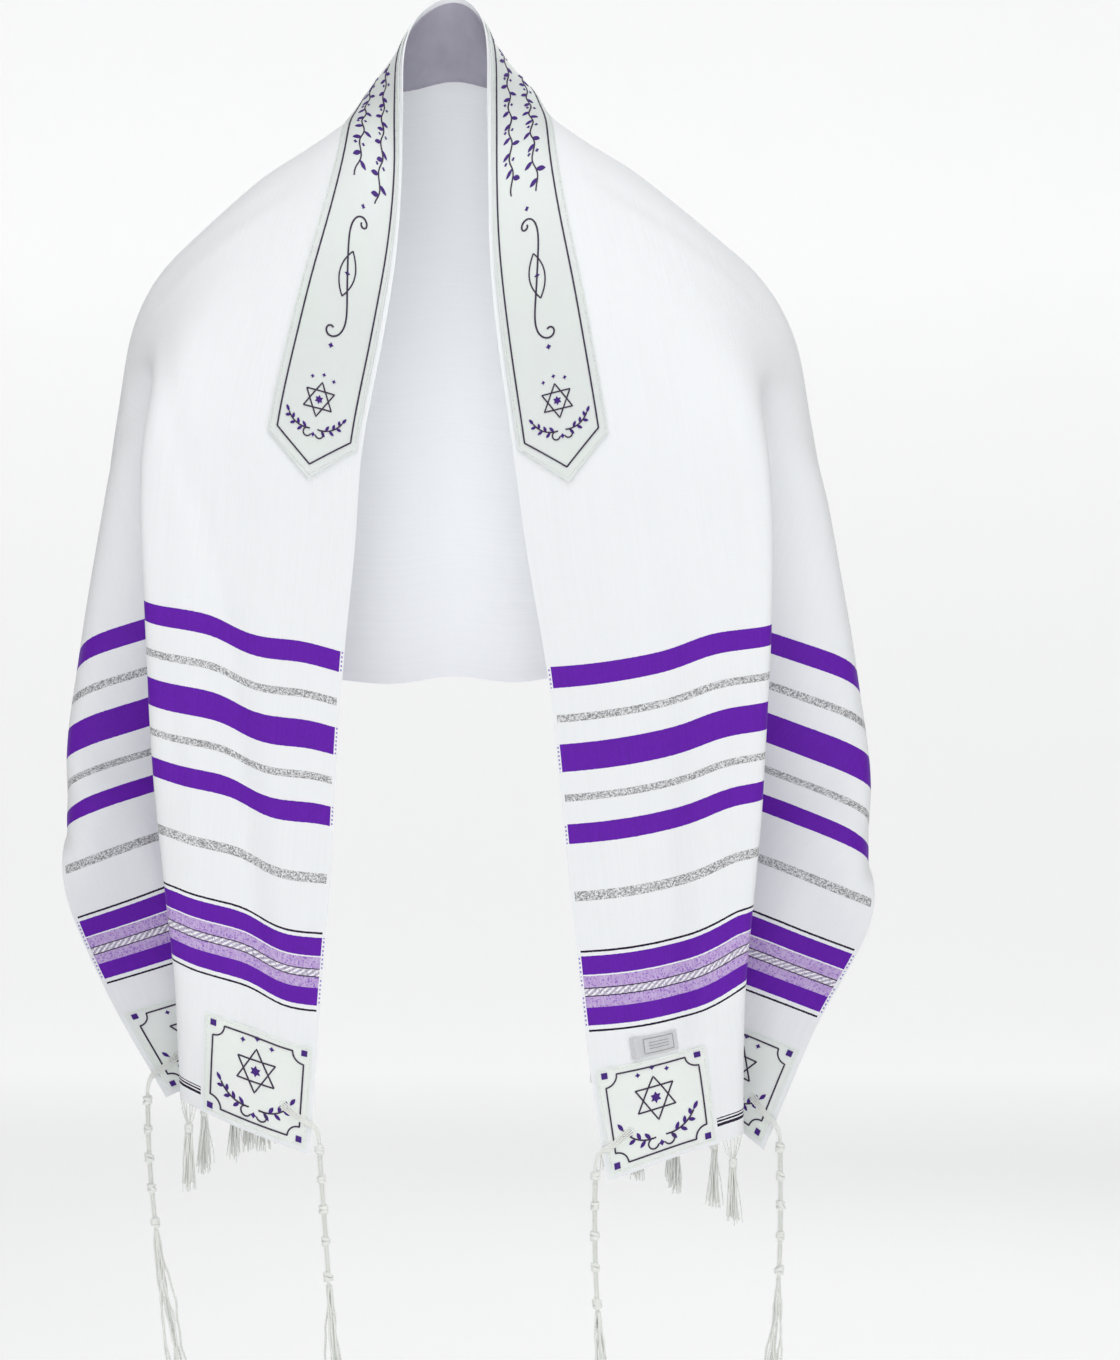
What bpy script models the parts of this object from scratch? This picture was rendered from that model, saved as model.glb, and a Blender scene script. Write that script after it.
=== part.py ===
"""A fringed prayer shawl, worn open over the shoulders with nobody in it.

One woven rectangle hangs as a cape: its neck edge stands up behind the neck and falls down both
fronts, and each side turns back behind its front in a deep tuck before it wraps the arm.
Metres, +Z up, the open front faces -Y. The origin is the middle of the neck hole on the shoulders.
"""
import math

import bpy
import numpy as np

# Driving dimensions, metres
HALF_LENGTH = 0.940         # centre back to an end hem, along the cloth
WIDTH = 0.540               # neck edge to the long outer edge
WALL = 0.0018               # cloth with its woven bands and turned hems
GAP = 0.0003                # clearance between pieces that touch
SATIN = 0.0010              # collar band, patches, label and facing
COLLAR_INNER = 0.004        # the band starts this far from the neck edge
COLLAR_OUTER = 0.072
FACING_OUTER = 0.066
COLLAR_END = 0.430          # where the band's point begins, from centre back
COLLAR_POINT = 0.029        # length of the point
FACING_END = 0.070
PATCH_MARGIN = 0.003
PATCH_WIDE = 0.087          # far side of a patch, from the long edge
PATCH_TALL = 0.079          # top of a patch, from the hem
LABEL_LOW = 0.082
LABEL_HIGH = 0.099
MM = 0.001

# The drape, a row for each station along the cloth from centre back to the left hem.
# Each place is (x outward, y back, z up) in millimetres where the station's thread crosses a
# named line of the garment. crisp is 0 where those lines are soft bends and 1 where they are folds.
COLUMNS = ("along", "crisp", "neck", "collar", "fold", "tuck", "arm", "rear", "hem")
DRAPE = (
    (0, 0, (0, 60, 142), (0, 76, 80), (0, 110, -1), (0, 127, -95), (0, 132, -244), (0, 128, -322),
     (0, 119, -392)),
    (35, 0, (27, 47, 127), (31, 78, 78), (36, 110, -3), (39, 127, -96), (40, 132, -245),
     (40, 128, -323), (40, 119, -393)),
    (75, 0, (39, 20, 97), (61, 76, 78), (80, 108, -1), (88, 127, -93), (90, 133, -243),
     (90, 129, -321), (90, 120, -391)),
    (130, 0, (40, -10, 51), (72, 45, 58), (114, 93, -1), (132, 121, -90), (137, 133, -240),
     (138, 131, -318), (138, 124, -388)),
    (205, 0, (40, -50, -15), (80, -15, 27), (154, 30, -3), (200, 72, -70), (206, 120, -212),
     (204, 132, -292), (200, 133, -362)),
    (270, 0, (44, -78, -75), (90, -58, -35), (176, -22, -42), (236, 24, -82), (249, 90, -200),
     (250, 128, -272), (244, 148, -344)),
    (340, 0.1, (53, -100, -137), (112, -88, -111), (203, -62, -110), (249, -6, -132),
     (268, 42, -232), (264, 80, -312), (254, 108, -385)),
    (430, 0.5, (69, -110, -223), (131, -107, -207), (240, -94, -195), (224, -40, -192),
     (267, 0, -214), (271, 74, -300), (262, 112, -405)),
    (500, 0.9, (74, -110, -294), (139, -113, -279), (241, -104, -266), (200, -35, -258),
     (279, 0, -287), (279, 70, -342), (266, 104, -440)),
    (570, 1, (82, -110, -373), (147, -117, -357), (235, -115, -337), (180, -20, -328),
     (289, -2, -362), (291, 64, -387), (274, 112, -460)),
    (660, 1, (88, -111, -463), (153, -119, -447), (230, -118, -427), (142, 35, -414),
     (298, -4, -463), (300, 44, -478), (292, 84, -503)),
    (705, 1, (90, -112, -508), (156, -119, -492), (227, -118, -471), (138, 50, -454),
     (262, 2, -493), (298, -6, -505), (300, 26, -512)),
    (750, 1, (93, -112, -553), (158, -119, -537), (222, -118, -516), (135, 62, -497),
     (224, 8, -522), (263, 0, -537), (299, -10, -550)),
    (840, 1, (100, -113, -643), (164, -119, -627), (212, -117, -607), (126, 76, -594),
     (192, -8, -608), (228, -20, -619), (264, -30, -629)),
    (940, 1, (107, -114, -743), (168, -119, -720), (208, -94, -702), (126, 106, -690),
     (186, -12, -695), (202, -30, -701), (218, -45, -707)),
)
LINES = COLUMNS[2:]
FOLD, TUCK, ARM = (LINES.index(name) for name in ("fold", "tuck", "arm"))
TUCK_FROM = 0.37            # along the cloth, where the tuck starts to take up spare cloth
TUCK_FULL = 0.47

# How the right side differs from the left, (outward, up) in millimetres for each line
RIGHT_SHIFT = (
    (0, (0, 0), (0, 0), (0, 0), (0, 0), (0, 0), (0, 0), (0, 0)),
    (75, (-14, 0), (-5, 0), (0, 0), (0, 0), (0, 0), (0, 0), (0, 0)),
    (205, (-15, 0), (-6, 0), (-3, 0), (2, 0), (2, 0), (1, 0), (0, 0)),
    (340, (-22, 0), (-14, 0), (-2, 0), (14, -5), (15, -6), (14, -6), (10, -6)),
    (430, (-26, 0), (-17, 0), (-2, -8), (4, -9), (19, -13), (18, -14), (13, -10)),
    (570, (-14, -11), (-12, -12), (4, -15), (-4, -8), (21, -17), (20, -18), (14, -16)),
    (660, (-10, -12), (-8, -13), (4, -16), (-10, -2), (21, -24), (21, -25), (20, -26)),
    (750, (-6, -12), (-4, -13), (6, -15), (-14, -10), (9, -18), (14, -22), (20, -25)),
    (840, (-3, -16), (0, -17), (7, -18), (-20, -15), (8, -20), (9, -22), (10, -26)),
    (940, (5, -20), (4, -21), (11, -27), (-24, -18), (15, -26), (15, -33), (15, -40)),
)

# Length of bend taken out of each corner between the lines, soft and crisp, in millimetres
BEND = (("collar", 30, 30), ("fold", 44, 13), ("tuck", 34, 24), ("arm", 60, 27), ("rear", 38, 30))

# Large soft creases: side, start (along, across), end (along, across), half width and height.
# Heights in millimetres, outward positive, growing from the first end to the second.
CREASES = (
    ("left", (300, 120), (900, 62), 30, 0, -7),
    ("left", (470, 128), (800, 96), 24, 3, 6),
    ("right", (330, 110), (900, 58), 28, 0, -6),
    ("right", (480, 126), (860, 92), 24, 3, 5),
    ("left", (180, 250), (235, 550), 26, 0, -15),
    ("left", (300, 300), (385, 550), 34, 0, 5),
    ("right", (170, 250), (222, 550), 26, 0, -12),
    ("right", (290, 300), (370, 550), 34, 0, 6),
    ("left", (90, 160), (118, 550), 34, 0, 9),
    ("right", (100, 170), (140, 550), 32, 0, 8),
    ("left", (20, 150), (52, 550), 30, 0, -7),
    ("right", (16, 170), (60, 550), 34, 0, -8),
)

# Threads across the cloth that carry a row of points, metres from centre back
ROWS = (0.0, 0.020, 0.045, 0.070, 0.100, 0.130, 0.160, 0.190, 0.220, 0.250, 0.280, 0.310, 0.340,
        0.370, 0.400, COLLAR_END, COLLAR_END + COLLAR_POINT / 2, COLLAR_END + COLLAR_POINT,
        0.490, 0.525, 0.560, 0.595, 0.630, 0.665, 0.700, 0.735, 0.770, 0.805,
        HALF_LENGTH - LABEL_HIGH, HALF_LENGTH - LABEL_LOW, HALF_LENGTH - PATCH_TALL,
        0.886, 0.912, HALF_LENGTH - PATCH_MARGIN, HALF_LENGTH)
COLLAR_STEP = (COLLAR_OUTER - COLLAR_INNER) / 4
NECK_COLUMNS = [0.0] + [COLLAR_INNER + COLLAR_STEP * i for i in range(4)]
NECK_COLUMNS += [FACING_OUTER, COLLAR_OUTER, PATCH_WIDE]
OUTER_COLUMNS = [WIDTH - across for across in (PATCH_WIDE, 0.066, 0.045, 0.024, COLLAR_INNER, 0.0)]
RELAX_PASSES = 1
FOLD_NEAR = 0.010           # points beside the fold and the tuck that carry their round
TUCK_NEAR = 0.014
BETWEEN_STOPS = (2, 1, 1, 3, 1, 1, 3, 3)     # cells between the stops that follow the fold and tuck

# Knotted corner fringes: node, side, across the cloth, sway of the free end (x, y) in mm, length
TZITZIT = (
    ("tzitzit_front_left", "left", "neck", (22, -6), 0.262),
    ("tzitzit_front_right", "right", "neck", (12, -6), 0.262),
    ("tzitzit_back_left", "left", "outer", (28, 6), 0.256),
    ("tzitzit_back_right", "right", "outer", (-8, 6), 0.258),
)
# Its way from the eyelet over the long edge: from that edge, above the hem
TZITZIT_ROUTE = ((0.024, 0.030), (0.010, 0.024), (0.0, 0.021), (0.006, 0.021))
TZITZIT_POINTS = 46         # points along a fringe
TZITZIT_LEAD = 0.14         # part of the fringe that lies on the patch
KNOT_STEP = 4               # points from one knot to the next
CORD = 0.0017               # radius of the wound stem
KNOT = 0.0033
STEM_SHARE = 0.36           # part of the fringe that is knotted
STRANDS = 8
STRAND = 0.0009
TASSEL_ACROSS = (0.102, 0.158, 0.213, 0.266, 0.316, 0.392, 0.436)
TASSEL_DROP = 0.018         # hem to knot
TASSEL_BRUSH = 0.042
TASSEL_SPREAD = 0.009       # half the width of the V of yarns at the hem
TASSEL_KNOT = 0.0034
TASSEL_SIDES = 6            # also the strands of its brush
# A knot's rings from its top: height above its middle, radius
TASSEL_RINGS = ((0.0042, 0.0024), (0.0018, TASSEL_KNOT), (-0.0018, TASSEL_KNOT), (-0.0042, 0.0026))
BRUSH_STRAND = 0.0011
CREASE_START = (0.25, 0.2)  # a crease fades in over the first of these from the second's share
CREASE_STOP = (1.15, 0.3)   # and out before the first, over the second

COLOURS = {
    "cloth": (0.86, 0.87, 0.89), "satin": (0.72, 0.77, 0.74), "facing": (0.46, 0.42, 0.49),
    "label": (0.50, 0.51, 0.52), "cord": (0.84, 0.85, 0.84),
}


def clear_scene():
    for item in list(bpy.data.objects):
        bpy.data.objects.remove(item, do_unlink=True)


def material(name, roughness):
    """A plain cloth finish, shared by the pieces that are cut from it."""
    if name in bpy.data.materials:
        return bpy.data.materials[name]
    finish = bpy.data.materials.new(name)
    finish.use_nodes = True
    shader = finish.node_tree.nodes["Principled BSDF"]
    shader.inputs["Base Color"].default_value = (*COLOURS[name], 1.0)
    shader.inputs["Roughness"].default_value = roughness
    shader.inputs["Metallic"].default_value = 0.0
    return finish


def add_piece(name, points, faces, finish, roughness):
    mesh = bpy.data.meshes.new(name)
    mesh.from_pydata([tuple(float(v) for v in p) for p in points], [], faces)
    mesh.shade_smooth()
    mesh.materials.append(material(finish, roughness))
    piece = bpy.data.objects.new(name, mesh)
    bpy.context.scene.collection.objects.link(piece)
    return piece


def smooth_between(stations, values, place):
    """A value at a place along the stations, on a smooth curve through the table's rows."""
    last = len(stations) - 1
    i = int(np.clip(np.searchsorted(stations, place) - 1, 0, last - 1))
    span = stations[i + 1] - stations[i]
    u = (place - stations[i]) / span

    def slope(j):
        low, high = max(j - 1, 0), min(j + 1, last)
        return (values[high] - values[low]) / (stations[high] - stations[low])

    return ((2 * u**3 - 3 * u**2 + 1) * values[i] + (u**3 - 2 * u**2 + u) * span * slope(i)
            + (3 * u**2 - 2 * u**3) * values[i + 1] + (u**3 - u**2) * span * slope(i + 1))


def drape_table(side):
    """The station table of one side in metres, continued past centre back by its mirror."""
    shift_at = np.array([row[0] for row in RIGHT_SHIFT], float)
    along, crisp, places = [], [], []
    for row in DRAPE:
        points = np.array(row[2:], float)
        if side == "right":
            for column in range(len(LINES)):
                pairs = np.array([shift[column + 1] for shift in RIGHT_SHIFT], float)
                outward, up = smooth_between(shift_at, pairs, row[0])
                points[column] += (outward, 0.0, up)
        else:
            points[:, 0] *= -1.0
        along.append(row[0] * MM)
        crisp.append(float(row[1]))
        places.append(points * MM)
    mirror = places[1] * (-1, 1, 1)
    return np.array([-along[1]] + along), np.array([0.0] + crisp), np.array([mirror] + places)


TABLES = {side: drape_table(side) for side in ("left", "right")}


def rounded(corners, sharp):
    """The path through a thread's corners with its bends rounded, and where each bend lies in it."""
    path, bends = [corners[0]], []
    for i, (_, soft, hard) in enumerate(BEND, start=1):
        before, corner, after = corners[i - 1], corners[i], corners[i + 1]
        back, ahead = before - corner, after - corner
        cut = min((soft + (hard - soft) * sharp) * MM, 0.48 * np.linalg.norm(back),
                  0.48 * np.linalg.norm(ahead))
        start = corner + back / np.linalg.norm(back) * cut
        end = corner + ahead / np.linalg.norm(ahead) * cut
        for u in np.linspace(0, 1, 9):
            path.append((1 - u)**2 * start + 2 * u * (1 - u) * corner + u**2 * end)
        bends.append(len(path) - 5)
    path.append(corners[-1])
    path = np.array(path)
    reach = np.concatenate([[0], np.cumsum(np.linalg.norm(np.diff(path, axis=0), axis=1))])
    return path, reach, bends


def thread(side, along):
    """One thread across the cloth: its rounded path, the distance along it, and where it bends.

    In front of the arms the tuck takes up the spare cloth, so that the thread ends at its hem.
    """
    stations, crisp, places = TABLES[side]
    corners = smooth_between(stations, places, along)
    sharp = float(np.clip(np.interp(along, stations, crisp), 0, 1))
    mouth = (corners[FOLD] + corners[ARM]) / 2
    depth = corners[TUCK] - mouth
    low, high = 0.1, 3.0
    for _ in range(24):
        deeper = (low + high) / 2
        corners[TUCK] = mouth + depth * deeper
        if rounded(corners, sharp)[1][-1] < WIDTH:
            low = deeper
        else:
            high = deeper
    share = float(np.clip((along - TUCK_FROM) / (TUCK_FULL - TUCK_FROM), 0, 1))
    corners[TUCK] = mouth + depth * (1 + (deeper - 1) * share)
    path, reach, bends = rounded(corners, sharp)
    if reach[-1] < WIDTH:
        ahead = path[-1] - path[-2]
        path = np.vstack([path, path[-1] + ahead / np.linalg.norm(ahead) * (WIDTH - reach[-1])])
        reach = np.append(reach, WIDTH)
    return path, reach, [reach[i] for i in bends]


def crease_height(side, along, across):
    """How far the large creases push the cloth out at a place."""
    height = 0.0
    for where, (a0, t0), (a1, t1), half, low, high in CREASES:
        if where != side:
            continue
        if abs(a1 - a0) > abs(t1 - t0):
            u = (along / MM - a0) / (a1 - a0)
            off = across / MM - (t0 + (t1 - t0) * u)
        else:
            u = (across / MM - t0) / (t1 - t0)
            off = along / MM - (a0 + (a1 - a0) * u)
        ends = np.clip(u / CREASE_START[0] + CREASE_START[1], 0, 1)
        ends *= np.clip((CREASE_STOP[0] - u) / CREASE_STOP[1], 0, 1)
        if abs(off) < 2 * half:
            bell = 0.5 + 0.5 * math.cos(math.pi * off / (2 * half))
            height += (low + (high - low) * float(np.clip(u, 0, 1))) * bell**2 * ends
    return height * MM


def column_places(bends):
    """Distances across the cloth of a row's points, following the fold, tuck and arm."""
    last = OUTER_COLUMNS[0]
    fold = float(np.clip(bends[1], PATCH_WIDE + 0.006, last - 0.15))
    tuck = float(np.clip(bends[2], fold + 0.04, last - 0.06))
    arm = float(np.clip(bends[3], tuck + 0.03, last - 0.025))
    beside = min(FOLD_NEAR, (fold - PATCH_WIDE) / 2)
    stops = (PATCH_WIDE, fold - beside, fold, fold + FOLD_NEAR, tuck - TUCK_NEAR, tuck,
             tuck + TUCK_NEAR, arm, last)
    middle = []
    for cells, start, end in zip(BETWEEN_STOPS, stops, stops[1:]):
        middle += [start + (end - start) * i / cells for i in range(1, cells + 1)]
    return NECK_COLUMNS + middle[:-1] + OUTER_COLUMNS


def surface():
    """The middle surface of the whole cloth: rows from the left hem over centre back to the right."""
    places = []
    signed = [-a for a in reversed(ROWS[1:])] + list(ROWS)
    across_all = []
    for a in signed:
        side = "left" if a < 0 else "right"
        path, reach, bends = thread(side, abs(a))
        across = column_places(bends)
        places.append([[np.interp(t, reach, path[:, k]) for k in range(3)] for t in across])
        across_all.append(across)
    places = relaxed(np.array(places), RELAX_PASSES)
    across_all = relaxed(np.array(across_all), RELAX_PASSES)
    outward = surface_normals(places)
    for r, a in enumerate(signed):
        side = "left" if a < 0 else "right"
        for c, t in enumerate(across_all[r]):
            places[r, c] += outward[r, c] * crease_height(side, abs(a), t)
    return np.array(signed), across_all, places, surface_normals(places)


def relaxed(values, passes):
    """Evens out small steps between a grid's rows and leaves its two end rows."""
    for _ in range(passes):
        values[1:-1] = (values[:-2] + 2 * values[1:-1] + values[2:]) / 4
    return values


def surface_normals(places):
    """Unit normals at the points, away from the wearer."""
    along = np.gradient(places, axis=0)
    across = np.gradient(places, axis=1)
    normal = np.cross(along, across)
    normal /= np.linalg.norm(normal, axis=2, keepdims=True)
    back = places.shape[0] // 2
    if normal[back, places.shape[1] // 2, 1] < 0:
        normal = -normal
    return normal


ALONG, ACROSS, MIDDLE, OUTWARD = surface()
ROW_COUNT, COLUMN_COUNT = ACROSS.shape


def cell_triangles():
    """Both triangles of every cell, split so that the points of the collar follow the splits."""
    triangles = []
    for r in range(ROW_COUNT - 1):
        for c in range(COLUMN_COUNT - 1):
            a, b = (r, c), (r, c + 1)
            d, e = (r + 1, c), (r + 1, c + 1)
            inner_half = c < 3
            right = ALONG[r] >= 0
            if inner_half == right:
                triangles += [(a, b, e), (a, e, d)]
            else:
                triangles += [(a, b, d), (b, e, d)]
    return triangles


TRIANGLES = cell_triangles()


def layer(name, keep, low, high, finish, roughness):
    """A closed wall over the kept triangles of the cloth, between two distances from its middle."""
    kept = [tri for tri in TRIANGLES
            if keep(sum(ALONG[r] for r, _ in tri) / 3, sum(ACROSS[r, c] for r, c in tri) / 3)]
    corners = sorted({corner for tri in kept for corner in tri})
    index = {corner: i for i, corner in enumerate(corners)}
    count = len(corners)
    points = [MIDDLE[p] + OUTWARD[p] * high for p in corners]
    points += [MIDDLE[p] + OUTWARD[p] * low for p in corners]
    faces, edges = [], {}
    for tri in kept:
        a, b, c = (index[p] for p in tri)
        faces += [(a, b, c), (c + count, b + count, a + count)]
        for edge in ((a, b), (b, c), (c, a)):
            edges[edge] = True
    for a, b in edges:
        if (b, a) not in edges:
            faces.append((b, a, a + count, b + count))
    piece = add_piece(name, points, faces, finish, roughness)
    turn_outward(piece)
    return piece


def turn_outward(piece):
    """Turn the shell round if its faces point in."""
    volume = 0.0
    for polygon in piece.data.polygons:
        corners = [piece.data.vertices[i].co for i in polygon.vertices]
        for i in range(1, len(corners) - 1):
            volume += corners[0].dot(corners[i].cross(corners[i + 1]))
    if volume < 0:
        piece.data.flip_normals()


def add_cloth():
    layer("cloth", lambda along, across: True, -WALL / 2, WALL / 2, "cloth", 0.75)


def add_collar_band():
    middle = (COLLAR_INNER + COLLAR_OUTER) / 2
    half = (COLLAR_OUTER - COLLAR_INNER) / 2

    def on_band(along, across):
        reach = COLLAR_END + COLLAR_POINT * (1 - abs(across - middle) / half)
        return COLLAR_INNER < across < COLLAR_OUTER and abs(along) < reach

    layer("collar_band", on_band, WALL / 2 + GAP, WALL / 2 + GAP + SATIN, "satin", 0.45)


def add_neck_facing():
    def on_facing(along, across):
        return COLLAR_INNER < across < FACING_OUTER and abs(along) < FACING_END

    layer("neck_facing", on_facing, -WALL / 2 - GAP - SATIN, -WALL / 2 - GAP, "facing", 0.6)


def add_patches():
    bottom, top = HALF_LENGTH - PATCH_MARGIN, HALF_LENGTH - PATCH_TALL
    bands = {"front": (COLLAR_INNER, PATCH_WIDE), "back": (WIDTH - PATCH_WIDE, WIDTH - COLLAR_INNER)}
    for edge, (start, end) in bands.items():
        for side, sign in (("left", -1), ("right", 1)):
            def on_patch(along, across, start=start, end=end, sign=sign):
                return start < across < end and top < along * sign < bottom

            layer(f"patch_{edge}_{side}", on_patch, WALL / 2 + GAP, WALL / 2 + GAP + SATIN,
                  "satin", 0.45)


def add_label():
    start, end = NECK_COLUMNS[3], NECK_COLUMNS[5]

    def on_label(along, across):
        return start < across < end and HALF_LENGTH - LABEL_HIGH < along < HALF_LENGTH - LABEL_LOW

    layer("label", on_label, WALL / 2 + GAP, WALL / 2 + GAP + SATIN, "label", 0.45)


def on_cloth(side, across, from_hem, lift):
    """A point off the cloth's surface, and the cloth's outward direction there."""
    sign = -1 if side == "left" else 1
    along = sign * (HALF_LENGTH - from_hem)
    r = int(np.clip(np.searchsorted(ALONG, along) - 1, 0, ROW_COUNT - 2))
    u = (along - ALONG[r]) / (ALONG[r + 1] - ALONG[r])

    def in_row(row, values):
        return np.array([np.interp(across, ACROSS[row], values[row, :, k]) for k in range(3)])

    place = (1 - u) * in_row(r, MIDDLE) + u * in_row(r + 1, MIDDLE)
    out = (1 - u) * in_row(r, OUTWARD) + u * in_row(r + 1, OUTWARD)
    out /= np.linalg.norm(out)
    return place + out * lift, out


def curve_through(stops, count):
    """Evenly spaced points on a smooth curve through the stops."""
    stops = np.array(stops, float)
    reach = np.concatenate([[0], np.cumsum(np.linalg.norm(np.diff(stops, axis=0), axis=1))])
    return np.array([smooth_between(reach, stops, s) for s in np.linspace(0, reach[-1], count)])


def ring(centre, ahead, radius, sides):
    """Points of a circle about a path, with a steady sense of round."""
    ahead = ahead / np.linalg.norm(ahead)
    guide = np.array((0.0, 1.0, 0.0)) if abs(ahead[1]) < 0.9 else np.array((1.0, 0.0, 0.0))
    across = np.cross(guide, ahead)
    across /= np.linalg.norm(across)
    third = np.cross(ahead, across)
    angles = [2 * math.pi * i / sides for i in range(sides)]
    return [centre + radius * (math.cos(a) * across + math.sin(a) * third) for a in angles]


class Tuft:
    """One closed body of yarn: a stem with knots whose end face grows into separate strands."""

    def __init__(self):
        self.points = []
        self.faces = []

    def add_ring(self, places):
        start = len(self.points)
        self.points += list(places)
        return list(range(start, start + len(places)))

    def join(self, first, second):
        n = len(first)
        for i in range(n):
            j = (i + 1) % n
            self.faces.append((first[i], first[j], second[j], second[i]))

    def double(self, first, second):
        """Join a ring to one with twice as many points."""
        n = len(first)
        for i in range(n):
            j = (i + 1) % n
            low, mid, high = second[2 * i], second[2 * i + 1], second[(2 * i + 2) % (2 * n)]
            self.faces += [(first[i], mid, low), (first[i], first[j], mid), (first[j], high, mid)]

    def grow_strands(self, rim, centre, routes, radius, flip):
        """Close a ring with a fan, and grow a three-sided strand out of every second triangle."""
        hub = self.add_ring([centre])[0]
        n = len(rim)
        for i in range(n):
            tri = (rim[i], rim[(i + 1) % n], hub)
            if i % 2:
                self.faces.append(tri[::-1] if flip else tri)
                continue
            last = tri
            for centre_line, ahead in routes[i // 2]:
                corners = [self.points[v] for v in tri]
                middle = sum(corners) / 3
                spokes = [(p - middle) / np.linalg.norm(p - middle) for p in corners]
                fresh = tuple(self.add_ring([centre_line + radius * s for s in spokes]))
                for k in range(3):
                    m = (k + 1) % 3
                    quad = (last[k], last[m], fresh[m], fresh[k])
                    self.faces.append(quad[::-1] if flip else quad)
                last = fresh
            self.faces.append(last[::-1] if flip else last)

    def finish(self, name):
        piece = add_piece(name, self.points, self.faces, "cord", 0.7)
        turn_outward(piece)


def add_tzitzit(name, side, edge, sway, length, order):
    """A cord laid from the patch's eyelet over its edge, knotted, then hanging as eight strands."""
    lift = WALL / 2 + SATIN + 2 * GAP + CORD
    route = TZITZIT_ROUTE
    if edge == "outer":
        route = tuple((WIDTH - across, from_hem) for across, from_hem in route)
    eyelet, _ = on_cloth(side, *route[0], lift)
    inside, _ = on_cloth(side, *route[1], lift)
    rim, out = on_cloth(side, *route[2], 0.0)
    inward, _ = on_cloth(side, *route[3], 0.0)
    away = (rim - inward) / np.linalg.norm(rim - inward)
    over = rim + out * lift * 0.8 + away * 0.002
    past = rim + away * (CORD + 0.0035) + (0, 0, -0.008)
    drift = np.array((sway[0], sway[1], 0.0)) * MM
    hang = [past + drift * u**1.5 + (away * 0.002 * math.sin(5 * u) * (1, 1, 0))
            + (0, 0, -length * u) for u in np.linspace(0.04, 1, 8)]
    path = curve_through([eyelet, inside, over, past] + hang, TZITZIT_POINTS)
    stem_end = int(len(path) * (TZITZIT_LEAD + STEM_SHARE))
    tuft = Tuft()
    last = None
    for i in range(stem_end + 1):
        ahead = path[min(i + 1, len(path) - 1)] - path[max(i - 1, 0)]
        knotted = i > TZITZIT_LEAD * len(path) + 1 and (i - order % 2) % KNOT_STEP == 1
        places = ring(path[i], ahead, KNOT if knotted else CORD, STRANDS)
        if i == stem_end:
            places = ring(path[i], ahead, KNOT * 0.95, STRANDS * 2)
        fresh = tuft.add_ring(places)
        if last is None:
            tuft.faces.append(tuple(reversed(fresh)))
        elif i == stem_end:
            tuft.double(last, fresh)
        else:
            tuft.join(last, fresh)
        last = fresh
    end = path[stem_end]
    ahead = path[stem_end + 1] - end
    around = ring(np.zeros(3), ahead, 1.0, STRANDS * 2)
    routes = []
    for k in range(STRANDS):
        spoke = around[2 * k] + around[(2 * k + 1) % (2 * STRANDS)]
        spoke = spoke / np.linalg.norm(spoke)
        steps = list(range(stem_end + 1, len(path) - (k * 5 + order) % 4, 4))
        route = []
        for j, step in enumerate(steps):
            spread = 0.0026 + 0.0022 * min(j / 3, 1.0)
            wave = 0.0007 * math.sin(1.7 * j + k + order)
            route.append((path[step] + spoke * (spread + wave), ahead))
        routes.append(route)
    tuft.grow_strands(last, end, routes, STRAND, False)
    tuft.finish(name)


def add_hem_tassel(name, side, across, order):
    """Yarns gathered from the hem into a knot, with a loose brush below it."""
    hem, out = on_cloth(side, across, 0.0, 0.0)
    above, _ = on_cloth(side, across, 0.006, 0.0)
    down = (hem - above) / np.linalg.norm(hem - above)
    beside, _ = on_cloth(side, across + 0.006, 0.0, 0.0)
    along_hem = (beside - hem) / np.linalg.norm(beside - hem)
    knot = hem + down * 0.5 * TASSEL_DROP + np.array((0, 0, -0.5 * TASSEL_DROP))
    drop = np.array((0.0, 0.0, -1.0))
    sides = TASSEL_SIDES
    (top_height, top_radius), *middle_rings, (low_height, low_radius) = TASSEL_RINGS
    tuft = Tuft()
    top = tuft.add_ring(ring(knot - drop * top_height, drop, top_radius, sides))
    last = top
    for height, radius in middle_rings:
        fresh = tuft.add_ring(ring(knot - drop * height, drop, radius, sides))
        tuft.join(last, fresh)
        last = fresh
    bottom = tuft.add_ring(ring(knot - drop * low_height, drop, low_radius, 2 * sides))
    tuft.double(last, bottom)
    around = ring(np.zeros(3), drop, 1.0, 2 * sides)
    routes = []
    for k in range(sides):
        spoke = around[2 * k] + around[2 * k + 1]
        spoke = spoke / np.linalg.norm(spoke)
        ragged = 1.0 - 0.09 * ((k * 3 + order) % 4)
        route = []
        for u in (0.12, 0.55, 1.0):
            reach = drop * (TASSEL_BRUSH * ragged * u - low_height)
            route.append((knot + reach + spoke * (low_radius + 0.0032 * u), drop))
        routes.append(route)
    tuft.grow_strands(bottom, knot - drop * low_height, routes, BRUSH_STRAND, False)
    yarns = []
    spokes = ring(np.zeros(3), drop, 1.0, sides)
    start = knot - drop * top_height
    order_along = sorted(range(sides // 2), key=lambda k: float(np.dot(spokes[2 * k], along_hem)))
    for k in range(sides // 2):
        place = order_along.index(k) - 1
        foot = hem + along_hem * place * TASSEL_SPREAD + down * (GAP + 0.0006)
        rise = foot - start
        yarns.append([(start + rise * 0.35 + spokes[2 * k] * 0.0014, rise), (foot, rise)])
    tuft.grow_strands(top, start, yarns, STRAND, True)
    tuft.finish(name)


def add_fringes():
    for order, (name, side, edge, sway, length) in enumerate(TZITZIT):
        add_tzitzit(name, side, edge, sway, length, order)
    for side in ("left", "right"):
        for order, across in enumerate(TASSEL_ACROSS):
            add_hem_tassel(f"hem_tassel_{side}_{order + 1}", side, across, order)


clear_scene()
add_cloth()
add_collar_band()
add_neck_facing()
add_patches()
add_label()
add_fringes()
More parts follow.
